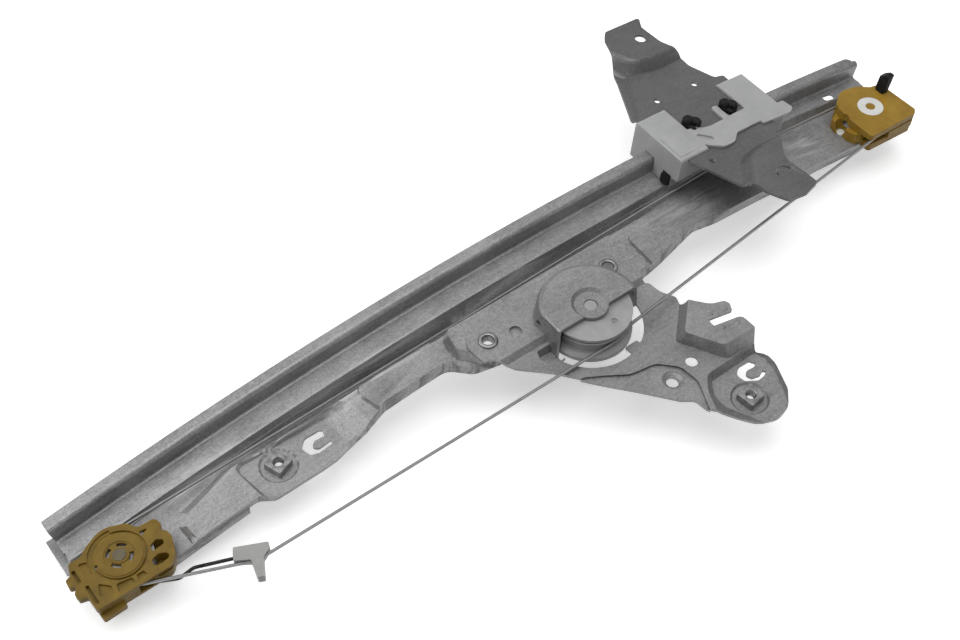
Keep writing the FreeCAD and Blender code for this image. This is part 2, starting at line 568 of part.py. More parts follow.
def cable_drum():
    """Grooved winding drum with two rims, a recessed top, a hub and the motor's socket."""
    groove = CABLE_R + 0.1
    barrel = DRUM_WIND_R - CABLE_R - CABLE_GAP
    profile = [(0, DRUM_LOW_Z), (DRUM_SKIRT_R, DRUM_LOW_Z), (DRUM_SKIRT_R, DRUM_LOW_Z + 2.4),
               (DRUM_RIM_R - 0.6, DRUM_LOW_Z + 3.6), (barrel + 0.3, DRUM_LOW_Z + 3.9)]
    z = LOWER_EXIT_Z
    low = profile[-1][1]
    while z < UPPER_EXIT_Z + 0.1:
        profile += [(barrel + 0.3, z - groove), (barrel - 0.1, z - groove * 0.5), (barrel - 0.1, z + groove * 0.5),
                    (barrel + 0.3, z + groove)]
        z += WIND_PITCH
    profile += [(barrel + 0.3, DRUM_HIGH_Z - 1.6), (DRUM_RIM_R, DRUM_HIGH_Z - 1.2), (DRUM_RIM_R, DRUM_HIGH_Z),
                (DRUM_RECESS_R, DRUM_HIGH_Z), (DRUM_RECESS_R - 0.8, DRUM_FLOOR_Z), (DRUM_HUB_R, DRUM_FLOOR_Z),
                (DRUM_HUB_R, DRUM_HUB_TOP - 0.4), (DRUM_HUB_R - 0.4, DRUM_HUB_TOP), (0, DRUM_HUB_TOP)]
    drum = turned(profile)
    socket = cylinder(SOCKET_R, DRUM_LOW_Z - 1, DRUM_LOW_Z + SOCKET_DEPTH)
    for k in range(3):
        key = box((SOCKET_R - 1, -0.9, DRUM_LOW_Z - 1), (SOCKET_R + 1.2, 0.9, DRUM_LOW_Z + SOCKET_DEPTH))
        key.rotate(V(0, 0, 0), V(0, 0, 1), 120 * k + 30)
        socket = socket.fuse(key)
    relief = tube(DRUM_WIND_R - 3.6, SOCKET_R + 2.6, DRUM_LOW_Z - 1, DRUM_LOW_Z + 5.5)
    for k in range(6):
        rib = box((SOCKET_R + 1, -0.8, DRUM_LOW_Z - 2), (DRUM_WIND_R, 0.8, DRUM_LOW_Z + 6))
        rib.rotate(V(0, 0, 0), V(0, 0, 1), 60 * k)
        relief = relief.cut(rib)
    drum = drum.cut([socket, relief])
    return drum.cut([cylinder(NIPPLE_R, z - 3.2, z + 1.6, x, y) for x, y, z in DRUM_NIPPLES])


def drum_winding():
    """The turn of cable between the two runs, which lies in the drum's middle groove."""
    return Part.makeTorus(DRUM_WIND_R - CABLE_GAP + 0.05, CABLE_R, V(0, 0, LOWER_EXIT_Z + WIND_PITCH))


WIND_PITCH = (UPPER_EXIT_Z - LOWER_EXIT_Z) / 2
DRUM_RECESS_R = 9.6
DRUM_FLOOR_Z = DOME_TOP - PLATE_SHEET - DOME_DISH_DEPTH - 0.1
DRUM_HUB_R = DOME_EYE_R - DRUM_HUB_CLEAR
DRUM_HUB_TOP = DOME_TOP - DOME_DISH_DEPTH - 0.3
NIPPLE_R = 1.6
DRUM_NIPPLES = [(13.2 * math.cos(a), 13.2 * math.sin(a), DRUM_HIGH_Z - 1.6) for a in (2.2, 5.0)]


def drum_nipples():
    """Cable end nipples seated in the pockets of the drum's top."""
    solids = [cylinder(NIPPLE_R - 0.05, z - 3.2, z + 1.3, x, y) for x, y, z in DRUM_NIPPLES]
    return Part.makeCompound(solids)


# Pulleys and their housings

LOWER_AXLE_R = 3.0
UPPER_POST_R = 2.5
UPPER_BUSH_R = 4.0
UPPER_PIN_R = 2.4
UPPER_PIN = (200.0, 28.0)
RUN_CLEAR = 0.05
PULLEY_HALF = 2.4
HUB_SLOT_ANGLES = (52, 134, -39, -134)
LOWER_EAR_Z = -15.2
LOWER_TOP_Z = -11.8
LOWER_ROOF_Z = -13.2
UPPER_TOP_Z = -2.2
UPPER_ROOF_Z = -5.7
UPPER_FLOOR_Z = -11.2


def pulley(bore_r, centre, z):
    """Grooved pulley wheel, centred on the cable's height."""
    foot = PULLEY_WIND_R - CABLE_R - CABLE_GAP
    h = PULLEY_HALF
    mouth = h - 0.4
    wheel = turned([
        (bore_r, z - h), (PULLEY_RIM_R, z - h), (PULLEY_RIM_R, z - mouth), (foot, z - CABLE_R - CABLE_GAP),
        (foot, z + CABLE_R + CABLE_GAP), (PULLEY_RIM_R, z + mouth), (PULLEY_RIM_R, z + h), (bore_r, z + h)],
        *centre)
    web = tube(10.2, bore_r + 2.2, z + h - 1.0, z + h + 1, *centre)
    return wheel.cut(web)


LOWER_FOOT_Z = -19.7
UPPER_FOOT_Z = -15.6
LOWER_HOUSING = [
    (-250.4, 9.0, 1.5), (-215.6, 9.4, 4), (-211.6, 14, 6), (-208.8, 21.6, 3), (-209.4, 25.2, 1.5),
    (-211.2, 26.8, 1), (-209.6, 29.6, 2), (-210.6, 33.6, 2.5), (-218.6, 33.6, 3), (-221.6, 38.4, 3),
    (-231.6, 42.4, 13), (-241.8, 37.2, 9), (-244.8, 34.9, 2), (-250.2, 35.2, 2), (-252.0, 29.6, 1),
    (-254.6, 28.6, 0.8), (-254.8, 24.6, 0.8), (-252.2, 23.8, 0.6), (-254.4, 20.8, 0.8), (-254.0, 17.6, 0.8),
    (-250.6, 16.8, 0.8)]
LOWER_TOE = [(-249.6, 6.4, 1), (-238.6, 6.9, 1), (-238.6, 12, 1), (-249.8, 12, 1)]
UPPER_ROOF = [
    (201.0, 9.4, 2), (232.6, 8.4, 2), (235.2, 10.6, 1.5), (234.4, 34.8, 2), (227.8, 36.6, 3), (222.4, 41.2, 7),
    (212.0, 43.6, 9), (202.4, 37.0, 9), (200.8, 24, 6)]
UPPER_BASE = [
    (203.4, 10.8, 2), (233.0, 9.0, 2), (235.2, 11.2, 1.5), (234.4, 34.8, 2), (227.8, 36.6, 3), (222.4, 41.2, 7),
    (212.0, 43.6, 9), (202.8, 37.4, 9), (198.0, 33.8, 3), (196.8, 29.2, 2), (199.0, 26.4, 0.8), (197.6, 22.6, 2),
    (199.4, 18.2, 2), (203.8, 16.4, 1)]
PIN_BLOCK = [(203.8, 16.4, 1), (206, 16, 1), (206, 36, 1), (203.2, 36.4, 1), (198, 33.8, 3), (196.8, 29.2, 2),
             (199, 26.4, 0.8), (197.6, 22.6, 2), (199.4, 18.2, 2)]
PIN_BLOCK_TOP = -7.0
PIN_FUNNEL_R = 4.2
PEG_DEPTH = 2.8
PEG_HEIGHT = 10.5
PEG_LEAN = 1.5
PEG = [(229.0, 28.6, 0.8), (233.6, 28.6, 0.8), (233.6, 34.0, 0.8), (229.0, 34.0, 0.8)]


def under_web(drop=0.0):
    """Block of everything below the rail's web, used to seat the housings on it."""
    outline = RAIL_NEAR_EDGE + [(RAIL_HIGH_X, WEB_JOINT_Y, 0), (RAIL_LOW_X, WEB_JOINT_Y, 0)]
    return web_block(drop, -70.0, offset_corners(outline, 0.02))


def lower_pulley_housing():
    """Moulded nylon housing with a ribbed roof, hub slots, pockets and cable mouths."""
    x, y = LOWER_PULLEY
    body = prism(LOWER_HOUSING, -24.0, LOWER_TOP_Z).cut(
        [box((-260, -10, -40), (-200, 18.6, LOWER_FOOT_Z)), box((-260, -10, -40), (-249.6, 60, LOWER_EAR_Z))])
    toe = prism(LOWER_TOE, LOWER_FOOT_Z, LOWER_FOOT_Z + 2.6)
    bites = [cylinder(CAVITY_R, -60, LOWER_ROOF_Z, x, y)]
    bites.append(tube(11.9, 10.7, LOWER_TOP_Z - 1.0, 10, x, y))
    crescent = tube(13.4, 11.9, LOWER_TOP_Z - 0.8, 10, x, y)
    bites.append(crescent.common(box((x - 12.4, y + 1, -20), (x + 2, y + 20, 20))))
    for angle in HUB_SLOT_ANGLES:
        bites.append(sector(5.9, 4.3, -60, 10, LOWER_PULLEY, angle - 24, 48))
    pockets = [
        ([(-219.2, 19.6, 1), (-213.2, 20.4, 1), (-212.6, 22.4, 1), (-215.2, 24.2, 1), (-218.6, 22.8, 1)], 6.0),
        ([(-221.8, 13.0, 1.8), (-218, 12.6, 1.8), (-214, 13.6, 1.8), (-214.4, 16, 1.8), (-217.4, 17.6, 1.8),
          (-221.4, 16.6, 1.8)], 6.0),
        ([(-239.6, 11.2, 0.6), (-231.4, 11.4, 0.6), (-231.8, 14.2, 0.6), (-238.2, 15.2, 0.6)], 1.2),
        ([(-230.0, 11.4, 0.6), (-225.6, 11.6, 0.6), (-226.4, 14.2, 0.6), (-229.8, 14.2, 0.6)], 1.2),
        ([(-246.4, 14.2, 0.6), (-241.2, 11.8, 0.6), (-240.4, 15.6, 0.6), (-244.4, 19.8, 0.6)], 1.2),
        ([(-249.4, 11.6, 0.4), (-247.9, 11.6, 0.4), (-247.9, 21.6, 0.4), (-249.4, 21.6, 0.4)], 2.0),
        ([(-251.0, 24.4, 0.4), (-249.4, 24.4, 0.4), (-249.4, 31.0, 0.4), (-251.0, 31.0, 0.4)], 2.0),
        ([(-247.0, 25.6, 0.8), (-243.8, 24.6, 0.8), (-243.6, 31.6, 0.8), (-247.2, 32.6, 0.8)], 1.0),
        ([(-219.4, 29.0, 0.4), (-214.8, 31.0, 0.4), (-219.0, 31.6, 0.4)], 1.6)]
    for outline, depth in pockets:
        bites.append(prism(outline, LOWER_TOP_Z - depth, 10))
    bites.append(cylinder(0.8, LOWER_TOP_Z - 3, 10, -241.4, 27.2))
    bites.append(box((-222.4, 6.0, LOWER_ROOF_Z - 1.9), (-214.8, 14.6, LOWER_ROOF_Z)))
    mouth_low = LOWER_CABLE_Z - 2.4
    mouth_high = LOWER_CABLE_Z + 2.7
    bites.append(box((x, y + PULLEY_WIND_R - 2.4, mouth_low), (x + 40, y + PULLEY_WIND_R + 2.2, mouth_high)))
    exit_line = box((0, -2.2, mouth_low), (60, 2.4, mouth_high))
    start = LOWER_EXIT_TANGENT
    exit_line.rotate(V(0, 0, 0), V(0, 0, 1), math.degrees(math.atan2(CLIP_POINT[1] - start.y, CLIP_POINT[0] - start.x)))
    exit_line.translate(V(start.x, start.y, 0))
    bites.append(exit_line)
    bites.append(cylinder(LOWER_AXLE_R, -60, 20, x, y))
    housing = joined([body, toe]).cut(bites).cut([under_web(), tension_spring_wire()])
    hub = tube(4.0, LOWER_AXLE_R, LOWER_TOP_Z, LOWER_TOP_Z + 0.5, x, y)
    disc = tube(9.9, 6.6, LOWER_TOP_Z, LOWER_TOP_Z + 0.4, x, y)
    housing = joined([housing, hub, disc])
    return max(housing.Solids, key=lambda solid: solid.Volume)


def lower_pulley_axle():
    """Headed steel pin of the lower pulley, riveted through web and housing."""
    x, y = LOWER_PULLEY
    shank = cylinder(LOWER_AXLE_R, arc_z(x, WEB_LEVEL) - RAIL_SHEET - 1.4, LOWER_TOP_Z + 0.8, x, y)
    head = cylinder(5.4, arc_z(x, WEB_LEVEL) - RAIL_SHEET - 3.2, arc_z(x, WEB_LEVEL) - RAIL_SHEET - 1.2, x, y)
    return joined([shank, head])


def upper_pulley_housing():
    """Moulded nylon housing: base, post, side wall and roof over the upper pulley."""
    x, y = UPPER_PULLEY
    base = prism(UPPER_BASE, -22.0, UPPER_FLOOR_Z)
    wall = prism(UPPER_ROOF, UPPER_FLOOR_Z, UPPER_ROOF_Z).cut(cylinder(CAVITY_R, -60, 20, x, y))
    slit = box((190, -10, UPPER_ROOF_Z - 1.1), (240, y - 10, UPPER_ROOF_Z))
    mouth = box((190, -10, UPPER_FLOOR_Z), (x - 2, y - 9.6, UPPER_ROOF_Z))
    lane = box((x - 40, y + PULLEY_WIND_R - 2.4, UPPER_FLOOR_Z - 0.6), (x, y + PULLEY_WIND_R + 2.2, UPPER_ROOF_Z))
    wall = wall.cut([slit, mouth, lane])
    roof = prism(UPPER_ROOF, UPPER_ROOF_Z, UPPER_TOP_Z)
    ring_seat = cylinder(UPPER_RING_R, UPPER_TOP_Z - 0.8, 10, x, y)
    sleeve = cylinder(UPPER_BUSH_R, UPPER_ROOF_Z - 1, 10, x, y)
    post = cylinder(UPPER_POST_R, arc_z(x, WEB_LEVEL) - RAIL_SHEET, UPPER_TOP_Z - 0.1, x, y)
    pocket = prism(PEG, UPPER_TOP_Z - PEG_DEPTH, 10)
    pin_floor = arc_z(UPPER_PIN[0], WEB_LEVEL) + 1.0
    pin_hole = cylinder(UPPER_PIN_R, -60, 10, *UPPER_PIN)
    pin_well = Part.makeCone(UPPER_PIN_R + 0.4, PIN_FUNNEL_R, PIN_BLOCK_TOP + 0.1 - pin_floor,
                             V(*UPPER_PIN, pin_floor))
    pin_block = prism(PIN_BLOCK, UPPER_FLOOR_Z, PIN_BLOCK_TOP).cut(cylinder(CAVITY_R, -60, 20, x, y))
    foot = box((190, -10, -40), (250, 17.2, UPPER_FOOT_Z))
    roof = roof.cut([ring_seat, sleeve])
    housing = joined([base, wall, roof, pin_block]).cut([pocket, pin_hole, pin_well, lane, foot, under_web()])
    housing = joined([housing, post])
    return max(housing.Solids, key=lambda solid: solid.Volume)


UPPER_RING_R = 6.95


def upper_pulley_bush():
    """White flanged bush that the upper pulley turns on."""
    x, y = UPPER_PULLEY
    return turned([
        (UPPER_POST_R, UPPER_FLOOR_Z), (UPPER_BUSH_R, UPPER_FLOOR_Z), (UPPER_BUSH_R, UPPER_TOP_Z - 0.8),
        (UPPER_RING_R, UPPER_TOP_Z - 0.8), (UPPER_RING_R, UPPER_TOP_Z), (UPPER_POST_R, UPPER_TOP_Z)], x, y)


def upper_locating_pin():
    """White pin that locates the upper housing on the rail."""
    x, y = UPPER_PIN
    floor = arc_z(x, WEB_LEVEL)
    return turned([(0, floor - 4), (UPPER_PIN_R - 0.4, floor - 4), (UPPER_PIN_R, floor - 3.2),
                   (UPPER_PIN_R, floor + 0.6), (UPPER_PIN_R - 0.4, floor + 0.9), (0, floor + 0.9)], x, y)


def upper_stop_peg():
    """Black buffer peg at the rail's upper end."""
    peg = prism(PEG, UPPER_TOP_Z - PEG_DEPTH, UPPER_TOP_Z + 1.0)
    low = UPPER_TOP_Z + 0.6
    top = UPPER_TOP_Z + PEG_HEIGHT
    foot = [(229.0, 28.6, 0.8), (233.6, 28.6, 0.8), (233.8, 34.6, 1.0), (229.2, 34.6, 1.0)]
    crown = [(x + PEG_LEAN, y, r) for x, y, r in foot]
    horn = tapered(foot, low, crown, top)
    bevel = Part.makeBox(14, 8, 12, V(226, 31.4, top))
    bevel.rotate(V(226, 31.4, top), V(1, 0, 0), -38)
    return joined([peg, horn.cut(bevel)])


# Cables along their whole route: drum, pulley and the inner run to the carrier

LOWER_EXIT_ANGLE = tangent_angle(LOWER_PULLEY, PULLEY_WIND_R, CLIP_POINT, -1)
LOWER_EXIT_TANGENT = V(
    LOWER_PULLEY[0] + PULLEY_WIND_R * math.cos(math.radians(LOWER_EXIT_ANGLE)),
    LOWER_PULLEY[1] + PULLEY_WIND_R * math.sin(math.radians(LOWER_EXIT_ANGLE)), LOWER_CABLE_Z)
WRAP_FACTOR = 0.99


def outer_angle(pulley_centre, side):
    """Angle at which a run that crosses no other touches both drum and pulley."""
    dx = pulley_centre[0]
    dy = pulley_centre[1]
    reach = math.hypot(dx, dy)
    toward = math.degrees(math.atan2(dy, dx))
    return toward + side * math.degrees(math.acos((DRUM_WIND_R - PULLEY_WIND_R) / reach))


def upper_cable():
    """Cable from the drum's top groove round the upper pulley to the carrier."""
    near = outer_angle(UPPER_PULLEY, -1)
    far = tangent_angle(UPPER_PULLEY, PULLEY_WIND_R, (ANCHOR_X, ANCHOR_Y), -1)
    drum_part = wheel_corners((0, 0), DRUM_WIND_R, UPPER_EXIT_Z, near - 225, near, 6)
    start = V(DRUM_WIND_R * math.cos(math.radians(near - 225)), DRUM_WIND_R * math.sin(math.radians(near - 225)),
              UPPER_EXIT_Z)
    wheel = wheel_corners(UPPER_PULLEY, PULLEY_WIND_R, UPPER_CABLE_Z, near, far % 360, 5)
    points = [start] + drum_part + wheel + [V(ANCHOR_X + 0.6, ANCHOR_Y, ANCHOR_Z)]
    radii = [DRUM_WIND_R * WRAP_FACTOR] * 6 + [PULLEY_WIND_R * WRAP_FACTOR] * 5
    return cord(points, radii, CABLE_R)


def lower_cable():
    """Cable from the drum's lower groove over the guide clip and the lower pulley."""
    clip = V(*CLIP_POINT)
    near = tangent_angle((0, 0), DRUM_WIND_R, CLIP_POINT, 1)
    far = tangent_angle(LOWER_PULLEY, PULLEY_WIND_R, (ANCHOR_X, ANCHOR_Y), 1)
    drum_part = wheel_corners((0, 0), DRUM_WIND_R, LOWER_EXIT_Z, near + 225, near, 6)
    start = V(DRUM_WIND_R * math.cos(math.radians(near + 225)), DRUM_WIND_R * math.sin(math.radians(near + 225)),
              LOWER_EXIT_Z)
    wheel = wheel_corners(LOWER_PULLEY, PULLEY_WIND_R, LOWER_CABLE_Z, LOWER_EXIT_ANGLE % 360 - 360, far - 360, 5)
    points = [start] + drum_part + [clip] + wheel + [V(ANCHOR_X - 0.6, ANCHOR_Y, ANCHOR_Z)]
    radii = [DRUM_WIND_R * WRAP_FACTOR] * 6 + [9.0] + [PULLEY_WIND_R * WRAP_FACTOR] * 5
    return cord(points, radii, CABLE_R)


def tension_spring_wire():
    """Black spring wire that carries the guide clip and keeps the cable tight."""
    points = [V(-232, 13.6, -19.6), V(-222.5, 9.8, -19.0), V(-215.5, 4.9, -16.8), V(-208.5, 4.9, -15.2),
              V(-193.5, -1.7, -14.0), V(-189.4, -4.6, -13.8)]
    return cord(points, [6, 4, 6, 5], 0.8)


def cable_guide_clip():
    """White T-shaped clip on the spring wire, with an eye for the cable."""
    clip = prism(T_CLIP, CLIP_POINT[2] - 2.8, CLIP_POINT[2] + 1.8)
    lane = cord([V(-60, -DRUM_WIND_R, CLIP_POINT[2] + (LOWER_EXIT_Z - CLIP_POINT[2]) * 126 / 186), V(*CLIP_POINT),
                 LOWER_EXIT_TANGENT], [9.0], CABLE_R + 0.4)
    return clip.cut([lane, tension_spring_wire()])


# Carrier

def slider_block(x_low, x_high):
    """One shoe of the slider, which wraps the lip of the guide flange."""
    g = SLIDE_GAP
    section = [
        (42.0, STRIP_LEVEL + g, 0.6), (FLANGE_Y - g, STRIP_LEVEL + g, 0.6), (FLANGE_Y - g, LIP_LEVEL + g, 0.3),
        (LIP_EDGE_Y + g, LIP_LEVEL + g, 0.3), (LIP_EDGE_Y + g, LIP_LEVEL - RAIL_SHEET - g, 0.3),
        (FLANGE_Y + RAIL_SHEET + 1.4, LIP_LEVEL - RAIL_SHEET - g, 0.5), (58.4, 3.0, 0.6), (59.4, 2.0, 0.5),
        (71.6, 2.0, 1.0), (71.6, SLIDER_TOP, 1.4), (37.6, SLIDER_TOP, 1.4), (37.6, 10.4, 0.6), (42.0, 9.6, 0.5)]
    return bowed(section, x_low, x_high)


LIFT_OUTLINE = [
    (88.4, 77.1, 2), (88.6, 70, 0), (89.4, 45, 0), (91.5, 36.4, 3), (94.2, 29.2, 20), (102.6, 7.6, 10),
    (103.2, -3, 4), (108.6, -13.4, 4), (119, -14.6, 4), (129.6, -12, 2.5), (129, -2, 20), (127.6, 8.6, 10),
    (133.4, 16.5, 6), (148.3, 33.6, 2), (149, 40, 2), (150.6, 60, 0), (151.2, 76, 1.5), (146, 77.2, 3),
    (140.8, 91.5, 8), (141.4, 98.5, 6), (137.6, 103.8, 5), (135.2, 109, 8), (134.4, 123.2, 2), (138.6, 130.3, 1.2),
    (114.8, 130.3, 3), (110.6, 125.4, 4), (106.6, 115, 12), (101.3, 102.6, 12)]
FAR_LOBE = [(103, 124, 2), (108.5, 114.5, 8), (113.3, 105.8, 10), (124, 103.2, 14), (145, 103.6, 4), (160, 108, 2),
            (160, 145, 2), (100, 145, 2)]
NEAR_LOBE = [(90, -30, 2), (150, -30, 2), (150, 20, 2), (127.5, 20, 4), (117, 18.6, 8), (108.6, 8, 8),
             (98, -4, 2)]
FAR_HOLE = (127.8, 116.6)
NEAR_SLOT = (120.4, 1.6)
SMALL_HOLES = [(133.2, 78.8), (107.6, 79.0), (101.2, 30.9)]
EDGE_STEP = [(80, 75.4, 0.5), (90.0, 75.4, 1), (107.6, 105, 2), (100, 112, 1), (80, 112, 1)]
EDGE_STEP_DEPTH = 2.2


def lift_block(drop, bottom, grow):
    """Solid below the lift plate's top face, lowered by drop, inside its outline."""
    outline = prism(LIFT_OUTLINE, bottom, 60, grow)
    base = prism(LIFT_OUTLINE, bottom, LIFT_LEVEL - drop, grow)
    step = well(EDGE_STEP, LIFT_LEVEL - EDGE_STEP_DEPTH - drop, LIFT_LEVEL + 2, 0.9)
    far = soft_pad(FAR_LOBE, LIFT_LEVEL - drop - EDGE_STEP_DEPTH - 0.4, LOBE_LEVEL - drop, 9.0)
    near = soft_pad(NEAR_LOBE, LIFT_LEVEL - drop - 0.4, LOBE_LEVEL - drop, 8.0)
    return base.cut(step).fuse([far.common(outline), near.common(outline)])


def lift_plate_level():
    """Lift plate modelled level, before it takes the tilt of the rail's bow."""
    plate = lift_block(0.0, 0.0, 0.0).cut(lift_block(LIFT_SHEET, -20.0, 3.0))
    cuts = [cylinder(SCREW_HOLE_R, 0, 60, *FAR_HOLE)]
    cuts += [cylinder(1.7, 0, 60, x, y) for x, y in SMALL_HOLES]
    lance = tube(4.6, 3.7, 0, 60, *NEAR_SLOT)
    keep = box((NEAR_SLOT[0] - 9, NEAR_SLOT[1] - 6, 0), (NEAR_SLOT[0] + 9, NEAR_SLOT[1] + 9, 60))
    keep.rotate(V(NEAR_SLOT[0], NEAR_SLOT[1], 0), V(0, 0, 1), -38)
    half = keep.common(box((NEAR_SLOT[0] - 9, NEAR_SLOT[1] + 0.4, 0), (NEAR_SLOT[0] + 9, NEAR_SLOT[1] + 9, 60)))
    cuts.append(lance.common(half))
    return plate.cut(cuts)


BRIDGE_TOP = [
    (SLIDER_LOW_X + 1, 40.2, 1), (104.8, 40.4, 1.5), (112.4, 34.4, 4), (119.5, 34.2, 4), (125.2, 38.6, 2),
    (142, 38.6, 1), (142, 36.4, 1), (159.6, 35.2, 1.2), (163.2, 37, 1.2), (162.4, 43.6, 1), (158.4, 43.8, 1),
    (158.4, 50, 1), (129.9, 49.8, 1), (129.9, 59.2, 1), (126.4, 59.2, 1), (126.1, 49.4, 1), (116.5, 49.3, 4),
    (111.5, 50.6, 3), (109.6, 53.0, 0.8), (104, 53.4, 1), (104, 56, 1), (SLIDER_LOW_X + 1, 56, 1)]
CLIP_SPOTS = {"lower": (109.6, 56.0), "upper": (134.8, 55.6)}


def carrier_slider():
    """Nylon slider: two shoes, the bridge over the lift plate and the cable anchors."""
    shoes = [slider_block(SLIDER_LOW_X, 104.8), slider_block(141.0, SLIDER_HIGH_X)]
    bridge = on_bow(prism(BRIDGE_TOP, LIFT_LEVEL, SLIDER_TOP), CARRIER_X)
    spine = on_bow(prism([(100, 43.4, 1), (146, 43.4, 1), (146, 70.8, 1), (100, 70.8, 1)],
                         LIP_LEVEL + 1.2, LIFT_LEVEL - LIFT_SHEET), CARRIER_X)
    body = joined(shoes + [bridge, spine])
    room = on_bow(prism(LIFT_OUTLINE, LIFT_LEVEL - LIFT_SHEET, LIFT_LEVEL), CARRIER_X)
    recess = on_bow(prism([(104.6, 46.6, 1.3), (110.6, 40.2, 1.3), (112.8, 42.2, 1.3), (106.8, 48.6, 1.3)],
                          SLIDER_TOP - 1.0, SLIDER_TOP + 5), CARRIER_X)
    bores = [cylinder(NIPPLE_R + 1.0, 0, LIFT_LEVEL - LIFT_SHEET, x, y) for x, y in NIPPLE_SPOTS]
    bores = [on_bow(bore, CARRIER_X) for bore in bores]
    stop = bowed([(42.2, 3.6, 0.5), (48.0, 3.6, 0.5), (48.0, 10.4, 0.5), (42.2, 10.4, 0.5)],
                 SLIDER_LOW_X - 1, SLIDER_LOW_X + 8)
    clips = [cable_clip(name) for name in CLIP_SPOTS]
    return body.cut([room, recess, stop] + bores + clips)


NIPPLE_SPOTS = [(110.0, 45.6), (136.0, 45.6)]


def cable_nipples():
    """Cable end nipples in their pockets in the slider, beside the cable's line."""
    solids = [on_bow(turned([(0, 13.6), (NIPPLE_R + 0.4, 13.6), (NIPPLE_R + 0.9, 14.2), (NIPPLE_R + 0.9, 19.8),
                             (NIPPLE_R + 0.4, 20.4), (0, 20.4)], x, y), CARRIER_X) for x, y in NIPPLE_SPOTS]
    return Part.makeCompound(solids)


def cable_clip(name):
    """Black snap clip that locks the lift plate on the slider."""
    x, y = CLIP_SPOTS[name]
    foot = box((x - 3.2, y - 2.6, LIFT_LEVEL - 9), (x + 3.2, y + 2.6, LIFT_LEVEL))
    skirt = prism([(x - 4.2, y + 0.6, 1), (x - 2.4, y - 4.8, 1), (x + 2.2, y - 4.4, 1), (x + 5.2, y - 1.0, 1),
                   (x + 4.4, y + 2.8, 1), (x - 0.6, y + 4.6, 1.5)], LIFT_LEVEL, LIFT_LEVEL + 1.8)
    tall = turned([(0, LIFT_LEVEL), (2.7, LIFT_LEVEL), (2.7, LIFT_LEVEL + 3.6), (1.9, LIFT_LEVEL + 4.6),
                   (0, LIFT_LEVEL + 4.6)], x - 1.4, y + 1.6)
    short = turned([(0, LIFT_LEVEL), (2.9, LIFT_LEVEL), (2.9, LIFT_LEVEL + 2.4), (2.1, LIFT_LEVEL + 3.3),
                    (0, LIFT_LEVEL + 3.3)], x + 2.2, y - 0.8)
    notch = box((x - 0.4, y - 5.4, LIFT_LEVEL + 0.9), (x + 0.5, y - 1.8, LIFT_LEVEL + 6))
    head = joined([skirt, tall, short]).cut(notch)
    return on_bow(joined([foot, head]), CARRIER_X)


def slider_bumper():
    """Black rubber buffer in the slider's foot, which meets the lower stop."""
    core = bowed([(42.2, 3.6, 0.5), (48.0, 3.6, 0.5), (48.0, 10.4, 0.5), (42.2, 10.4, 0.5)],
                 SLIDER_LOW_X, SLIDER_LOW_X + 8)
    nose = bowed([(42.6, 4.0, 1), (47.6, 4.0, 1), (47.6, 10.0, 1), (42.6, 10.0, 1)],
                 SLIDER_LOW_X - 1.6, SLIDER_LOW_X + 1)
    return joined([core, nose])


def lift_plate():
    """Steel plate with two raised lobes that the window glass is bolted to."""
    plate = on_bow(lift_plate_level(), CARRIER_X)
    holes = []
    for name, (x, y) in CLIP_SPOTS.items():
        holes.append(on_bow(box((x - 3.2, y - 2.6, 0), (x + 3.2, y + 2.6, 60)), CARRIER_X))
    return plate.cut(holes)


NODES["guide_rail"] = guide_rail
NODES["motor_plate"] = motor_plate
NODES["weld_nuts"] = weld_nuts
NODES["rail_rivets"] = rail_rivets
NODES["cable_drum"] = cable_drum
NODES["drum_winding"] = drum_winding
NODES["drum_nipples"] = drum_nipples
NODES["upper_pulley"] = lambda: pulley(UPPER_BUSH_R + RUN_CLEAR, UPPER_PULLEY, UPPER_CABLE_Z)
NODES["lower_pulley"] = lambda: pulley(LOWER_AXLE_R + RUN_CLEAR, LOWER_PULLEY, LOWER_CABLE_Z)
NODES["lower_pulley_housing"] = lower_pulley_housing
NODES["lower_pulley_axle"] = lower_pulley_axle
NODES["upper_pulley_housing"] = upper_pulley_housing
NODES["upper_pulley_bush"] = upper_pulley_bush
NODES["upper_locating_pin"] = upper_locating_pin
NODES["upper_stop_peg"] = upper_stop_peg
NODES["upper_cable"] = upper_cable
NODES["lower_cable"] = lower_cable
NODES["tension_spring_wire"] = tension_spring_wire
NODES["cable_guide_clip"] = cable_guide_clip
NODES["carrier_slider"] = carrier_slider
NODES["lift_plate"] = lift_plate
NODES["upper_cable_clip"] = lambda: cable_clip("upper")
NODES["lower_cable_clip"] = lambda: cable_clip("lower")
NODES["slider_bumper"] = slider_bumper
NODES["cable_nipples"] = cable_nipples

os.makedirs("parts", exist_ok=True)
for node, build in NODES.items():
    shape = build()
    shape.exportStep("parts/%s.step" % node)
    print("%-22s solids %d  volume %9.1f  valid %s" % (node, len(shape.Solids), shape.Volume, shape.isValid()))
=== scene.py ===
"""Finishes and fine detail of a single-rail cable window regulator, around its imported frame."""

from __future__ import annotations

import json
import logging
import math
from dataclasses import dataclass
from enum import Enum

import bmesh
import bpy
from mathutils import Matrix, Vector

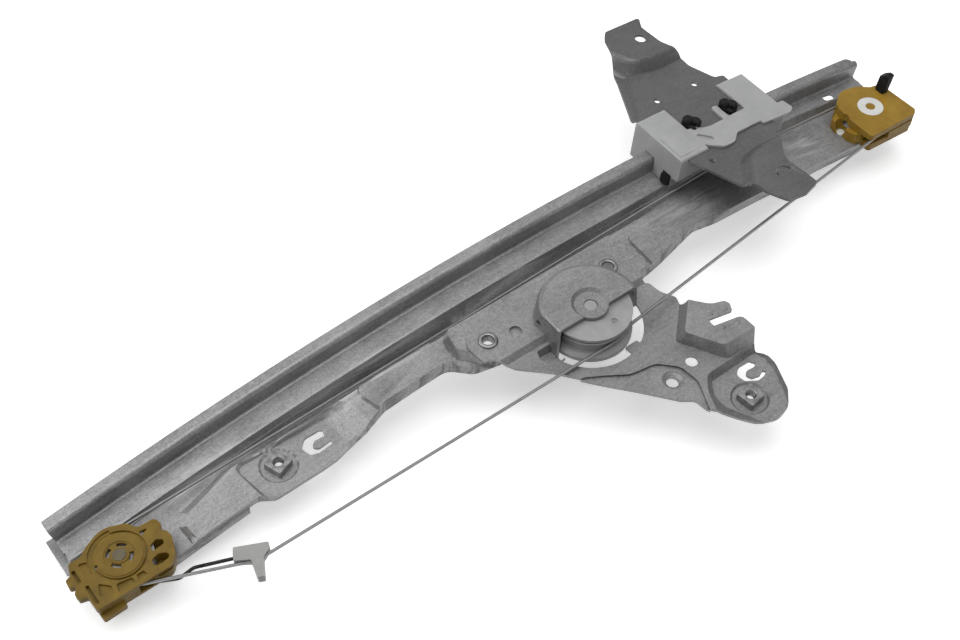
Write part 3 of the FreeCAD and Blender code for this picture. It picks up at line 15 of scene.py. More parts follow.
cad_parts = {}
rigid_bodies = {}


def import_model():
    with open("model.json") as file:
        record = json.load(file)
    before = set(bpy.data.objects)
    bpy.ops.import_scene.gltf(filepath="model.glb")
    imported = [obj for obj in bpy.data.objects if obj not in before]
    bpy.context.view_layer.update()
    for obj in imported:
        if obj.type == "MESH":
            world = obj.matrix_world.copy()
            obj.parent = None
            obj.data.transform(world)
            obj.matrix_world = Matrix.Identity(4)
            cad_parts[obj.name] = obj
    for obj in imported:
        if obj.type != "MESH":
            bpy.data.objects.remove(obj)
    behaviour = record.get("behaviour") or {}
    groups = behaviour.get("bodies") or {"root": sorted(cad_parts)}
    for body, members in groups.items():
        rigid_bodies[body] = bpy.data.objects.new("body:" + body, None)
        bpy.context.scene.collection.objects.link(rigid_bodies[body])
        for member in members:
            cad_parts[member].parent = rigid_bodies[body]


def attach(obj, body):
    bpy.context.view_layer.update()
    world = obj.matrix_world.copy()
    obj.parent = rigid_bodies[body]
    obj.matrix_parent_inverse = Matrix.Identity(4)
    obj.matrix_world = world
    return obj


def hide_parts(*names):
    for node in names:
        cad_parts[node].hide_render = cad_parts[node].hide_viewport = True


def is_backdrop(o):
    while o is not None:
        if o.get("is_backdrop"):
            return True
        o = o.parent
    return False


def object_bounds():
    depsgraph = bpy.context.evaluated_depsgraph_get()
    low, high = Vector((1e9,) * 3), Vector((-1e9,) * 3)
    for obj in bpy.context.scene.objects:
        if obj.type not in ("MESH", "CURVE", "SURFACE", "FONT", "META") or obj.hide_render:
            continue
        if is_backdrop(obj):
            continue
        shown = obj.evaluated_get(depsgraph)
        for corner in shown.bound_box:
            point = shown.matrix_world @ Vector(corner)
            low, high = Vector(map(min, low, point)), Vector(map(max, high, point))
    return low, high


LOG = logging.getLogger("window_regulator")

MM = 0.001
IMAGE_WIDTH_PX = 960
SENSOR_MM = 36.0
WELD_MM = 0.002
FLAT_WITHIN_DEG = 0.05
LARGE_FACES_LEAD = 100
WHITE_LIGHT = (1.0, 1.0, 1.0, 1.0)

Colour = tuple[float, float, float]
Triple = tuple[float, float, float]
Span = tuple[float, float]
Socket = bpy.types.NodeSocket


class Body(Enum):
    """The bodies of the frame that pieces ride on."""

    FRAME = "frame"
    CARRIER = "carrier"
    DRUM = "drum"
    UPPER_WHEEL = "upper_wheel"
    LOWER_WHEEL = "lower_wheel"


@dataclass(frozen=True)
class Grain:
    """A noise field: about one over per_metre wide, with finer layers in it, and swirled or not."""

    per_metre: float
    layers: float
    swirl: float = 0.0


@dataclass(frozen=True)
class Relief:
    """How deep a height field stands out, and how much of it shows."""

    depth_mm: float
    strength: float


class NodeGraph:
    """A material's node tree, with short calls for the nodes that the finishes share."""

    def __init__(self, name: str) -> None:
        """Starts an empty material.

        Args:
            name: The material's name.
        """
        self.material = bpy.data.materials.new(name)
        self.material.use_nodes = True
        self.tree = self.material.node_tree
        self.tree.nodes.clear()
        self.output = self.tree.nodes.new("ShaderNodeOutputMaterial")
        self.object_coords = self.tree.nodes.new("ShaderNodeTexCoord").outputs["Object"]

    def link(self, source: Socket, target: Socket) -> None:
        """Joins two sockets."""
        self.tree.links.new(source, target)

    def stretched(self, scale: Triple, turn_deg: float = 0.0) -> Socket:
        """Object coordinates with their own scale along each axis.

        Args:
            scale: The factor along X, Y and Z; a small factor draws a pattern out.
            turn_deg: The pattern's turn about Z.

        Returns:
            The stretched coordinates.
        """
        mapping = self.tree.nodes.new("ShaderNodeMapping")
        mapping.inputs["Scale"].default_value = scale
        mapping.inputs["Rotation"].default_value = (0.0, 0.0, math.radians(turn_deg))
        self.link(self.object_coords, mapping.inputs["Vector"])
        return mapping.outputs["Vector"]

    def noise(self, grain: Grain, coords: Socket | None = None) -> Socket:
        """A noise field from 0 to 1.

        Args:
            grain: How fine the field is.
            coords: The coordinates, or plain object coordinates.

        Returns:
            The field.
        """
        noise = self.tree.nodes.new("ShaderNodeTexNoise")
        noise.inputs["Scale"].default_value = grain.per_metre
        noise.inputs["Detail"].default_value = grain.layers
        noise.inputs["Distortion"].default_value = grain.swirl
        self.link(coords or self.object_coords, noise.inputs["Vector"])
        return noise.outputs["Fac"]

    def ranged(self, value: Socket, start: Span, end: Span = (0.0, 1.0)) -> Socket:
        """Maps a value from one range to another, clamped.

        Args:
            value: What is mapped.
            start: The range that it comes from.
            end: The range that it goes to.

        Returns:
            The mapped value.
        """
        node = self.tree.nodes.new("ShaderNodeMapRange")
        for name, number in zip(("From Min", "From Max", "To Min", "To Max"), (*start, *end)):
            node.inputs[name].default_value = number
        self.link(value, node.inputs["Value"])
        return node.outputs["Result"]

    def maths(self, operation: str, a: Socket, b: Socket | float) -> Socket:
        """One arithmetic step.

        Args:
            operation: Blender's name for it, such as ADD.
            a: The first value.
            b: The second value or a number.

        Returns:
            The result.
        """
        node = self.tree.nodes.new("ShaderNodeMath")
        node.operation = operation
        self.link(a, node.inputs[0])
        if isinstance(b, (int, float)):
            node.inputs[1].default_value = b
        else:
            self.link(b, node.inputs[1])
        return node.outputs["Value"]

    def weighed(self, *fields: tuple[Socket, float]) -> Socket:
        """Adds up fields by their shares.

        Args:
            fields: Each field with its share.

        Returns:
            The sum.
        """
        total = None
        for value, share in fields:
            part = self.maths("MULTIPLY", value, share)
            total = part if total is None else self.maths("ADD", total, part)
        return total

    def blend(self, share: Socket, a: Colour | Socket, b: Colour | Socket) -> Socket:
        """Mixes two colours.

        Args:
            share: How much of b shows, from 0 to 1.
            a: The colour at 0.
            b: The colour at 1.

        Returns:
            The mixed colour.
        """
        mix = self.tree.nodes.new("ShaderNodeMix")
        mix.data_type = "RGBA"
        self.link(share, mix.inputs["Factor"])
        for name, colour in (("A", a), ("B", b)):
            socket = next(s for s in mix.inputs if s.name == name and s.type == "RGBA")
            if isinstance(colour, tuple):
                socket.default_value = (*colour, 1.0)
            else:
                self.link(colour, socket)
        return next(s for s in mix.outputs if s.type == "RGBA")

    def near(self, centre_mm: Triple, radius_mm: Triple) -> Socket:
        """A soft spot: 1 at its centre, falling to 0 at its rim.

        Args:
            centre_mm: Where it is, in mm.
            radius_mm: Its half widths along the axes, in mm.

        Returns:
            The spot's strength.
        """
        mapping = self.tree.nodes.new("ShaderNodeMapping")
        mapping.vector_type = "TEXTURE"
        mapping.inputs["Location"].default_value = [c * MM for c in centre_mm]
        mapping.inputs["Scale"].default_value = [r * MM for r in radius_mm]
        gradient = self.tree.nodes.new("ShaderNodeTexGradient")
        gradient.gradient_type = "SPHERICAL"
        self.link(self.object_coords, mapping.inputs["Vector"])
        self.link(mapping.outputs["Vector"], gradient.inputs["Vector"])
        return gradient.outputs["Fac"]

    def bump(self, height: Socket, relief: Relief, under: Socket | None = None) -> Socket:
        """A bumped normal.

        Args:
            height: The height field.
            relief: How deep it stands out.
            under: A normal that this one is laid over.

        Returns:
            The normal.
        """
        node = self.tree.nodes.new("ShaderNodeBump")
        node.inputs["Strength"].default_value = relief.strength
        node.inputs["Distance"].default_value = relief.depth_mm * MM
        self.link(height, node.inputs["Height"])
        if under is not None:
            self.link(under, node.inputs["Normal"])
        return node.outputs["Normal"]

    def shader(self, numbers: dict[str, float | tuple[float, ...]],
               linked: dict[str, Socket]) -> bpy.types.Material:
        """Ends the graph in a principled shader.

        Args:
            numbers: Inputs that are the same all over.
            linked: Inputs that vary over the surface.

        Returns:
            The finished material.
        """
        bsdf = self.tree.nodes.new("ShaderNodeBsdfPrincipled")
        for name, number in numbers.items():
            bsdf.inputs[name].default_value = number
        for name, socket in linked.items():
            self.link(socket, bsdf.inputs[name])
        self.link(bsdf.outputs["BSDF"], self.output.inputs["Surface"])
        return self.material


@dataclass(frozen=True)
class SheetSteel:
    """Rolled, zinc-coated sheet: fine grain, small spangle, cloudy patina and rub marks."""

    name: str
    dark: Colour
    light: Colour
    grain_turn_deg: float = 0.0
    rubbed: Colour = (0.6, 0.6, 0.6)
    rub_marks: tuple[tuple[Triple, Triple], ...] = ()
    roughness: Span = (0.42, 0.56)
    metallic: float = 0.6
    clouds: Grain = Grain(42.0, 5.0, 0.4)
    spangle: Grain = Grain(560.0, 4.0, 0.6)
    streaks: Grain = Grain(700.0, 3.0)
    speckle: Grain = Grain(1500.0, 2.0)
    ragged: Grain = Grain(300.0, 6.0, 0.6)
    rolled_out: Triple = (0.12, 1.0, 1.0)
    tone_shares: tuple[float, float, float, float] = (0.26, 0.26, 0.14, 0.34)
    tone_range: Span = (0.4, 0.6)
    rough_spangle: float = 0.8
    rough_range: Span = (0.7, 1.1)
    rub_range: Span = (0.0, 0.7)
    ragged_range: Span = (0.44, 0.66)
    most_rubbed: float = 0.7
    speckle_relief: Relief = Relief(0.07, 0.5)
    spangle_relief: Relief = Relief(0.08, 0.35)
    cloud_relief: Relief = Relief(0.3, 0.12)

    def make(self) -> bpy.types.Material:
        """Builds the material and returns it."""
        graph = NodeGraph(self.name)
        along = graph.stretched(self.rolled_out, self.grain_turn_deg)
        streaks = graph.noise(self.streaks, along)
        spangle = graph.noise(self.spangle)
        speckle = graph.noise(self.speckle)
        clouds = graph.noise(self.clouds)
        tone = graph.weighed(*zip((clouds, spangle, streaks, speckle), self.tone_shares))
        base = graph.blend(graph.ranged(tone, self.tone_range), self.dark, self.light)
        if self.rub_marks:
            base = graph.blend(self.wear(graph, along), base, self.rubbed)
        uneven = graph.maths("ADD", clouds, graph.maths("MULTIPLY", spangle, self.rough_spangle))
        rough = graph.ranged(uneven, self.rough_range, self.roughness)
        fine = graph.bump(speckle, self.speckle_relief)
        grain = graph.bump(spangle, self.spangle_relief, fine)
        waves = graph.bump(clouds, self.cloud_relief, grain)
        return graph.shader({"Metallic": self.metallic},
                            {"Base Color": base, "Roughness": rough, "Normal": waves})

    def wear(self, graph: NodeGraph, along: Socket) -> Socket:
        """How much of the rubbed steel shows: ragged streaks within the rub marks.

        Args:
            graph: The material's graph.
            along: Coordinates drawn out along the rolling.

        Returns:
            The share of rubbed steel.
        """
        marks = [graph.near(centre, radius) for centre, radius in self.rub_marks]
        worn = marks[0]
        for mark in marks[1:]:
            worn = graph.maths("MAXIMUM", worn, mark)
        streaky = graph.ranged(graph.noise(self.ragged, along), self.ragged_range, (0.0, self.most_rubbed))
        return graph.maths("MULTIPLY", graph.ranged(worn, self.rub_range), streaky)


@dataclass(frozen=True)
class TurnedSteel:
    """Zinc-plated turned or crimped steel: small bright parts with a little tarnish."""

    name: str
    dark: Colour
    light: Colour
    roughness: Span
    tarnish: Grain = Grain(320.0, 4.0)
    tarnish_range: Span = (0.35, 0.65)
    rough_range: Span = (0.3, 0.7)
    grain: Grain = Grain(3200.0, 2.0)
    grain_relief: Relief = Relief(0.02, 0.3)

    def make(self) -> bpy.types.Material:
        """Builds the material and returns it."""
        graph = NodeGraph(self.name)
        tarnish = graph.noise(self.tarnish)
        base = graph.blend(graph.ranged(tarnish, self.tarnish_range), self.dark, self.light)
        rough = graph.ranged(tarnish, self.rough_range, self.roughness)
        normal = graph.bump(graph.noise(self.grain), self.grain_relief)
        return graph.shader({"Metallic": 1.0}, {"Base Color": base, "Roughness": rough, "Normal": normal})


@dataclass(frozen=True)
class StrandedCable:
    """Galvanised wire rope: slanting strands with dark grease between them."""

    name: str
    strand: Colour
    grease: Colour
    turns_per_metre: float = 900.0
    lay_turn_deg: float = 28.0
    uneven: float = 0.6
    strand_range: Span = (0.15, 0.7)
    strand_relief: Relief = Relief(0.12, 0.6)
    roughness: Span = (0.6, 0.36)
    dirt: Grain = Grain(90.0, 3.0)
    dirt_range: Span = (0.5, 0.75)
    most_dirt: float = 0.5

    def make(self) -> bpy.types.Material:
        """Builds the material and returns it."""
        graph = NodeGraph(self.name)
        wave = graph.tree.nodes.new("ShaderNodeTexWave")
        wave.wave_type = "BANDS"
        wave.bands_direction = "X"
        wave.inputs["Scale"].default_value = self.turns_per_metre
        wave.inputs["Distortion"].default_value = self.uneven
        wave.inputs["Detail"].default_value = 1.0
        graph.link(graph.stretched((1.0, 1.0, 1.0), self.lay_turn_deg), wave.inputs["Vector"])
        strands = wave.outputs["Fac"]
        base = graph.blend(graph.ranged(strands, self.strand_range), self.grease, self.strand)
        dirt = graph.ranged(graph.noise(self.dirt), self.dirt_range, (0.0, self.most_dirt))
        base = graph.blend(dirt, base, self.grease)
        rough = graph.ranged(strands, (0.0, 1.0), self.roughness)
        normal = graph.bump(strands, self.strand_relief)
        return graph.shader({"Metallic": 1.0}, {"Base Color": base, "Roughness": rough, "Normal": normal})


@dataclass(frozen=True)
class MouldedNylon:
    """Moulded nylon or acetal: light passes a little way in, with faint flow marks."""

    name: str
    base: Colour
    shade: Colour
    roughness: Span
    see_in: float
    see_in_mm: Triple = (1.2, 1.0, 0.8)
    gloss: float = 0.3
    flow: Grain = Grain(70.0, 3.0, 1.2)
    flow_share: float = 0.65
    cloud: Grain = Grain(240.0, 4.0)
    cloud_share: float = 0.35
    cloud_relief: Relief = Relief(0.12, 0.12)
    shade_range: Span = (0.34, 0.66)
    rough_range: Span = (0.3, 0.7)
    grain: Grain = Grain(1900.0, 2.0)
    grain_relief: Relief = Relief(0.03, 0.2)

    def make(self) -> bpy.types.Material:
        """Builds the material and returns it."""
        graph = NodeGraph(self.name)
        flow = graph.noise(self.flow)
        cloud = graph.noise(self.cloud)
        mixed = graph.weighed((flow, self.flow_share), (cloud, self.cloud_share))
        base = graph.blend(graph.ranged(mixed, self.shade_range), self.base, self.shade)
        rough = graph.ranged(cloud, self.rough_range, self.roughness)
        fine = graph.bump(graph.noise(self.grain), self.grain_relief)
        normal = graph.bump(cloud, self.cloud_relief, fine)
        return graph.shader(
            {"Metallic": 0.0, "Subsurface Weight": self.see_in, "Subsurface Scale": MM,
             "Subsurface Radius": self.see_in_mm, "Specular IOR Level": self.gloss},
            {"Base Color": base, "Roughness": rough, "Normal": normal})


@dataclass(frozen=True)
class BlackMoulding:
    """Black nylon or rubber with a fine grain and dusty high spots."""

    name: str
    base: Colour
    dusty: Colour
    roughness: Span
    gloss: float = 0.22
    dust: Grain = Grain(260.0, 4.0)
    dust_range: Span = (0.45, 0.7)
    rough_range: Span = (0.3, 0.7)
    grain: Grain = Grain(2400.0, 2.0)
    grain_relief: Relief = Relief(0.05, 0.35)

    def make(self) -> bpy.types.Material:
        """Builds the material and returns it."""
        graph = NodeGraph(self.name)
        dust = graph.noise(self.dust)
        base = graph.blend(graph.ranged(dust, self.dust_range), self.base, self.dusty)
        rough = graph.ranged(dust, self.rough_range, self.roughness)
        normal = graph.bump(graph.noise(self.grain), self.grain_relief)
        return graph.shader({"Metallic": 0.0, "Specular IOR Level": self.gloss},
                            {"Base Color": base, "Roughness": rough, "Normal": normal})


Finish = SheetSteel | TurnedSteel | StrandedCable | MouldedNylon | BlackMoulding


class Finishes:
    """Every finish of the object, each made once and shared by the pieces that have it."""

    RAIL = SheetSteel(
        "rail_steel", (0.20, 0.20, 0.203), (0.38, 0.38, 0.383),
        rub_marks=(((172.0, 33.0, -9.0), (22.0, 14.0, 12.0)), ((88.0, 30.0, -4.0), (34.0, 12.0, 12.0)),
                   ((-100.0, 38.0, -7.0), (70.0, 10.0, 12.0)), ((-185.0, 42.0, -17.0), (40.0, 10.0, 14.0))))
    PLATE = SheetSteel("plate_steel", (0.19, 0.19, 0.193), (0.34, 0.34, 0.343), 40.0)
    LIFT = SheetSteel("lift_plate_steel", (0.12, 0.12, 0.122), (0.175, 0.175, 0.177), 70.0)
    # Bare cut steel, made paler than the sheet so that its thin band along every broken edge also paints a
    # highlight there.
    CUT_EDGE_AND_HIGHLIGHT = TurnedSteel("cut_edge_steel_and_highlight", (0.30, 0.30, 0.303), (0.44, 0.44, 0.443), (0.34, 0.48))
    FASTENER = TurnedSteel("fastener_steel", (0.19, 0.19, 0.192), (0.36, 0.36, 0.363), (0.3, 0.45))
    AXLE = TurnedSteel("axle_dull", (0.11, 0.095, 0.065), (0.17, 0.15, 0.105), (0.5, 0.62))
    WIRE = TurnedSteel("spring_wire_black", (0.02, 0.02, 0.019), (0.05, 0.048, 0.045), (0.35, 0.5))
    CABLE = StrandedCable("cable_steel", (0.42, 0.42, 0.42), (0.24, 0.24, 0.235))
    LOWER_AMBER = MouldedNylon("lower_amber_nylon", (0.21, 0.132, 0.012), (0.14, 0.086, 0.008),
                               (0.42, 0.58), 0.3, (2.4, 1.3, 0.35))
    UPPER_AMBER = MouldedNylon("upper_amber_nylon", (0.34, 0.205, 0.022), (0.25, 0.146, 0.014),
                               (0.4, 0.55), 0.4, (3.0, 1.6, 0.4))
    WHITE = MouldedNylon("white_acetal", (0.40, 0.402, 0.405), (0.35, 0.352, 0.355),
                         (0.38, 0.52), 0.5, (5.0, 5.0, 5.0))
    BRIGHT_WHITE = MouldedNylon("bright_white_nylon", (0.72, 0.72, 0.69), (0.62, 0.62, 0.59),
                                (0.35, 0.5), 0.3, (2.0, 2.0, 1.8))
    DRUM = MouldedNylon("drum_nylon", (0.36, 0.36, 0.36), (0.29, 0.29, 0.29), (0.34, 0.48), 0.1)
    CLIP = MouldedNylon("clip_nylon", (0.36, 0.365, 0.35), (0.30, 0.305, 0.29),
                        (0.3, 0.42), 0.3, (2.0, 2.0, 1.8))
    BLACK = BlackMoulding("black_nylon", (0.006, 0.006, 0.006), (0.016, 0.016, 0.016), (0.4, 0.6))
    RUBBER = BlackMoulding("black_rubber", (0.007, 0.007, 0.007), (0.018, 0.018, 0.018), (0.55, 0.75))

    def __init__(self) -> None:
        """Starts with no material made."""
        self.made: dict[str, bpy.types.Material] = {}

    def get(self, finish: Finish) -> bpy.types.Material:
        """The material of a finish, made at its first use.

        Args:
            finish: One of this class's finishes.

        Returns:
            The material.
        """
        if finish.name not in self.made:
            self.made[finish.name] = finish.make()
        return self.made[finish.name]


def alone(obj: bpy.types.Object) -> None:
    """Makes an object the only selected one, and the active one.

    Args:
        obj: The object.
    """
    if bpy.context.mode != "OBJECT":
        bpy.ops.object.mode_set(mode="OBJECT")
    bpy.ops.object.select_all(action="DESELECT")
    obj.select_set(True)
    bpy.context.view_layer.objects.active = obj


def dress(obj: bpy.types.Object, *materials: bpy.types.Material) -> bpy.types.Object:
    """Gives an object its materials in place of any that it has.

    Args:
        obj: The object.
        materials: Its materials, the main one first.

    Returns:
        The same object.
    """
    obj.data.materials.clear()
    for material in materials:
        obj.data.materials.append(material)
    return obj


@dataclass(frozen=True)
class Rounding:
    """How wide the broken edges and the sheet bends of a piece are asked to be.

    The bevel's overlap clamp narrows them over a whole piece to what its shortest facets allow. On
    the rail, the motor plate, the lift plate and the slider that leaves next to nothing.
    """

    width_mm: float
    segments: int = 2
    sharp_over_deg: float = 32.0
    bend_mm: float = 0.0
    bend_over_deg: float = 14.0
    bend_segments: int = 3
    cut_over_deg: float = 66.0
    shortest_bend_mm: float = 2.4


@dataclass(frozen=True)
class StripForm:
    """Widens the rail's running strip to the edge that the photograph shows."""

    wall_foot_y_mm: float = 42.4
    old_edge_y_mm: float = 46.8
    new_edge_y_mm: float = 43.6
    far_y_mm: float = 54.8
    full_below_x_mm: float = 60.0
    none_above_x_mm: float = 140.0

    def shape(self, piece: bpy.types.Object) -> None:
        """Moves the strip's near edge and the wall below it, and nothing else.

        Args:
            piece: The copy of the rail.
        """
        fade = self.none_above_x_mm - self.full_below_x_mm
        for vertex in piece.data.vertices:
            x, y = vertex.co.x / MM, vertex.co.y / MM
            share = min(1.0, max(0.0, (self.none_above_x_mm - x) / fade))
            if share == 0.0 or not self.wall_foot_y_mm < y < self.far_y_mm:
                continue
            if y < self.old_edge_y_mm:
                along = (y - self.wall_foot_y_mm) / (self.old_edge_y_mm - self.wall_foot_y_mm)
                wanted = self.wall_foot_y_mm + along * (self.new_edge_y_mm - self.wall_foot_y_mm)
            else:
                along = (self.far_y_mm - y) / (self.far_y_mm - self.old_edge_y_mm)
                wanted = self.far_y_mm - along * (self.far_y_mm - self.new_edge_y_mm)
            vertex.co.y = (y + share * (wanted - y)) * MM


def mark_bends(piece: bpy.types.Object, rounding: Rounding) -> int:
    """Gives the fold lines of a pressed sheet a bevel weight; its cut edges get none.

    Args:
        piece: The pressed sheet.
        rounding: The angles and the length that tell a fold from a cut edge.

    Returns:
        How many edges were marked.
    """
    shape = bmesh.new()
    shape.from_mesh(piece.data)
    weight = shape.edges.layers.float.new("bevel_weight_edge")
    low, high = math.radians(rounding.bend_over_deg), math.radians(rounding.cut_over_deg)
    marked = 0
    for edge in shape.edges:
        if len(edge.link_faces) != 2 or edge.calc_length() < rounding.shortest_bend_mm * MM:
            continue
        if low < edge.calc_face_angle() < high:
            edge[weight] = 1.0
            marked += 1
    shape.to_mesh(piece.data)
    shape.free()
    return marked


def rounded_piece(node: str, name: str, body: Body, rounding: Rounding, main: bpy.types.Material,
                  edge: bpy.types.Material | None = None,
                  form: StripForm | None = None) -> bpy.types.Object:
    """A copy of a frame node, its edges broken as far as the clamp allows, that stands for the node.

    Args:
        node: The frame's node.
        name: The new piece's name.
        body: The body that it rides on.
        rounding: The width and form of its broken edges.
        main: The material of its faces.
        edge: The material of its broken edges, if it differs; the paler cut-edge steel there also paints a
            highlight along them.
        form: A form that the photograph shows and the node lacks, if any.

    Returns:
        The new piece.
    """
    piece = bpy.data.objects.new(name, bpy.data.objects[node].data.copy())
    if form is not None:
        form.shape(piece)
    bpy.context.scene.collection.objects.link(piece)
    alone(piece)
    bpy.ops.object.mode_set(mode="EDIT")
    bpy.ops.mesh.select_all(action="SELECT")
    bpy.ops.mesh.remove_doubles(threshold=WELD_MM * MM)
    bpy.ops.mesh.dissolve_limited(angle_limit=math.radians(FLAT_WITHIN_DEG))
    bpy.ops.mesh.select_all(action="DESELECT")
    bpy.ops.object.mode_set(mode="OBJECT")
    dress(piece, main, edge or main)
    for polygon in piece.data.polygons:
        polygon.material_index = 0
    if rounding.bend_mm > 0.0 and mark_bends(piece, rounding):
        bends = piece.modifiers.new("sheet_bends", "BEVEL")
        bends.width = rounding.bend_mm * MM
        bends.segments = rounding.bend_segments
        bends.limit_method = "WEIGHT"
        bends.use_clamp_overlap = True
        bpy.ops.object.modifier_apply(modifier=bends.name)
    bevel = piece.modifiers.new("broken_edges", "BEVEL")
    bevel.width = rounding.width_mm * MM
    bevel.segments = rounding.segments
    bevel.limit_method = "ANGLE"
    bevel.angle_limit = math.radians(rounding.sharp_over_deg)
    bevel.use_clamp_overlap = True
    bevel.miter_outer = "MITER_ARC"
    # The broken edges take the second material; on the sheet parts that is the paler cut-edge steel, a
    # painted highlight along the edges.
    bevel.material = 1 if edge else -1
    bpy.ops.object.modifier_apply(modifier=bevel.name)
    bpy.ops.object.shade_smooth_by_angle(angle=math.radians(rounding.sharp_over_deg))
    normals = piece.modifiers.new("face_normals", "WEIGHTED_NORMAL")
    normals.mode = "FACE_AREA"
    normals.weight = LARGE_FACES_LEAD
    normals.keep_sharp = True
    bpy.ops.object.modifier_apply(modifier=normals.name)
    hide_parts(node)
    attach(piece, body.value)
    return piece


@dataclass(frozen=True)
class Thread:
    """A screw thread cut in a bore, as one ridge that winds down it."""

    top_mm: Triple
    bore_mm: float = 2.15
    pitch_mm: float = 0.8
    turns: int = 4
    ridge_share: float = 0.36
    steps_per_turn: int = 28
    sharp_over_deg: float = 40.0

    def build(self, name: str, body: Body, steel: bpy.types.Material) -> bpy.types.Object:
        """Winds the ridge.

        Args:
            name: The piece's name.
            body: The body that it rides on.
            steel: Its material.

        Returns:
            The thread.
        """
        bpy.ops.mesh.primitive_circle_add(
            vertices=4, radius=self.pitch_mm * self.ridge_share * MM, fill_type="NGON",
            rotation=(math.pi / 2, 0.0, 0.0), location=(self.bore_mm * MM, 0.0, 0.0))
        ridge = bpy.context.active_object
        ridge.name = name
        bpy.ops.object.transform_apply(location=True, rotation=True, scale=True)
        winding = ridge.modifiers.new("winding", "SCREW")
        winding.axis = "Z"
        winding.angle = 2 * math.pi * self.turns
        winding.screw_offset = -self.pitch_mm * self.turns * MM
        winding.steps = winding.render_steps = self.steps_per_turn * self.turns
        winding.use_merge_vertices = False
        bpy.ops.object.modifier_apply(modifier=winding.name)
        ridge.location = Vector(self.top_mm) * MM
        bpy.ops.object.transform_apply(location=True, rotation=False, scale=False)
        bpy.ops.object.shade_smooth_by_angle(angle=math.radians(self.sharp_over_deg))
        dress(ridge, steel)
        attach(ridge, body.value)
        return ridge


@dataclass(frozen=True)
class Lamp:
    """One square soft lamp; place and size are in metres."""

    name: str
    place: Triple
    size: float
    watts: float

    def hang(self, aim: Vector) -> None:
        """Hangs the lamp.

        Args:
            aim: The point that it faces.
        """
        data = bpy.data.lights.new(self.name, "AREA")
        data.shape = "SQUARE"
        data.size = self.size
        data.energy = self.watts
        lamp = bpy.data.objects.new(self.name, data)
        bpy.context.scene.collection.objects.link(lamp)
        lamp.location = self.place
        lamp.rotation_euler = (aim - Vector(self.place)).to_track_quat("-Z", "Y").to_euler()


@dataclass
class Studio:
    """The pale floor, the lamps and the sky that light the object."""

    floor_colour: Colour = (0.93, 0.93, 0.93)
    floor_bounce: Colour = (0.3, 0.3, 0.3)
    floor_lift: float = 0.4
    floor_reach: float = 6.0
    floor_roughness: float = 0.9
    floor_gloss: float = 0.1
    bright_side: Triple = (0.3, 0.75, 0.6)
    sky_strength: Span = (0.34, 0.5)
    sky_facing: Span = (-0.6, 1.0)
    lit_point: Triple = (0.0, 0.02, 0.0)
    lamps: tuple[Lamp, ...] = (Lamp("key_lamp", (0.79, 0.95, 1.37), 1.2, 1.5),
                               Lamp("top_lamp", (-0.1, 0.0, 1.6), 1.2, 12.0),
                               Lamp("side_lamp", (-1.1, 0.85, 1.2), 1.0, 9.0))

    def floor(self, level: float) -> None:
        """Lays the floor, which the camera and reflections see paler than the light that it returns.

        Args:
            level: The height of the lowest point of the object, in metres.
        """
        bpy.ops.mesh.primitive_plane_add(size=self.floor_reach, location=(0.0, 0.0, level))
        floor = bpy.context.active_object
        floor.name = "studio_floor"
        graph = NodeGraph("studio_paper")
        path = graph.tree.nodes.new("ShaderNodeLightPath").outputs
        seen = graph.maths("MAXIMUM", path["Is Camera Ray"], path["Is Glossy Ray"])
        seen = graph.maths("MAXIMUM", seen, path["Is Transmission Ray"])
        base = graph.blend(seen, self.floor_bounce, self.floor_colour)
        lift = graph.maths("MULTIPLY", seen, self.floor_lift)
        paper = graph.shader(
            {"Roughness": self.floor_roughness, "Specular IOR Level": self.floor_gloss,
             "Emission Color": WHITE_LIGHT},
            {"Base Color": base, "Emission Strength": lift})
        dress(floor, paper)
        floor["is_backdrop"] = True

    def sky(self) -> None:
        """Makes the sky: a soft grey that brightens to one side."""
        world = bpy.data.worlds.new("studio_sky")
        world.use_nodes = True
        bpy.context.scene.world = world
        nodes, links = world.node_tree.nodes, world.node_tree.links
        coords = nodes.new("ShaderNodeTexCoord")
        facing = nodes.new("ShaderNodeVectorMath")
        facing.operation = "DOT_PRODUCT"
        facing.inputs[1].default_value = self.bright_side
        ramp = nodes.new("ShaderNodeMapRange")
        ramp.inputs["From Min"].default_value, ramp.inputs["From Max"].default_value = self.sky_facing
        ramp.inputs["To Min"].default_value, ramp.inputs["To Max"].default_value = self.sky_strength
        links.new(coords.outputs["Generated"], facing.inputs[0])
        links.new(facing.outputs["Value"], ramp.inputs["Value"])
        links.new(ramp.outputs["Result"], nodes["Background"].inputs["Strength"])
        nodes["Background"].inputs["Color"].default_value = WHITE_LIGHT

    def build(self, lowest: Vector) -> None:
        """Builds the floor, the sky and the lamps.

        Args:
            lowest: The lowest corner of the object's box.
        """
        self.floor(lowest.z)
        self.sky()
        for lamp in self.lamps:
            lamp.hang(Vector(self.lit_point))
        bpy.context.scene.view_settings.view_transform = "Standard"


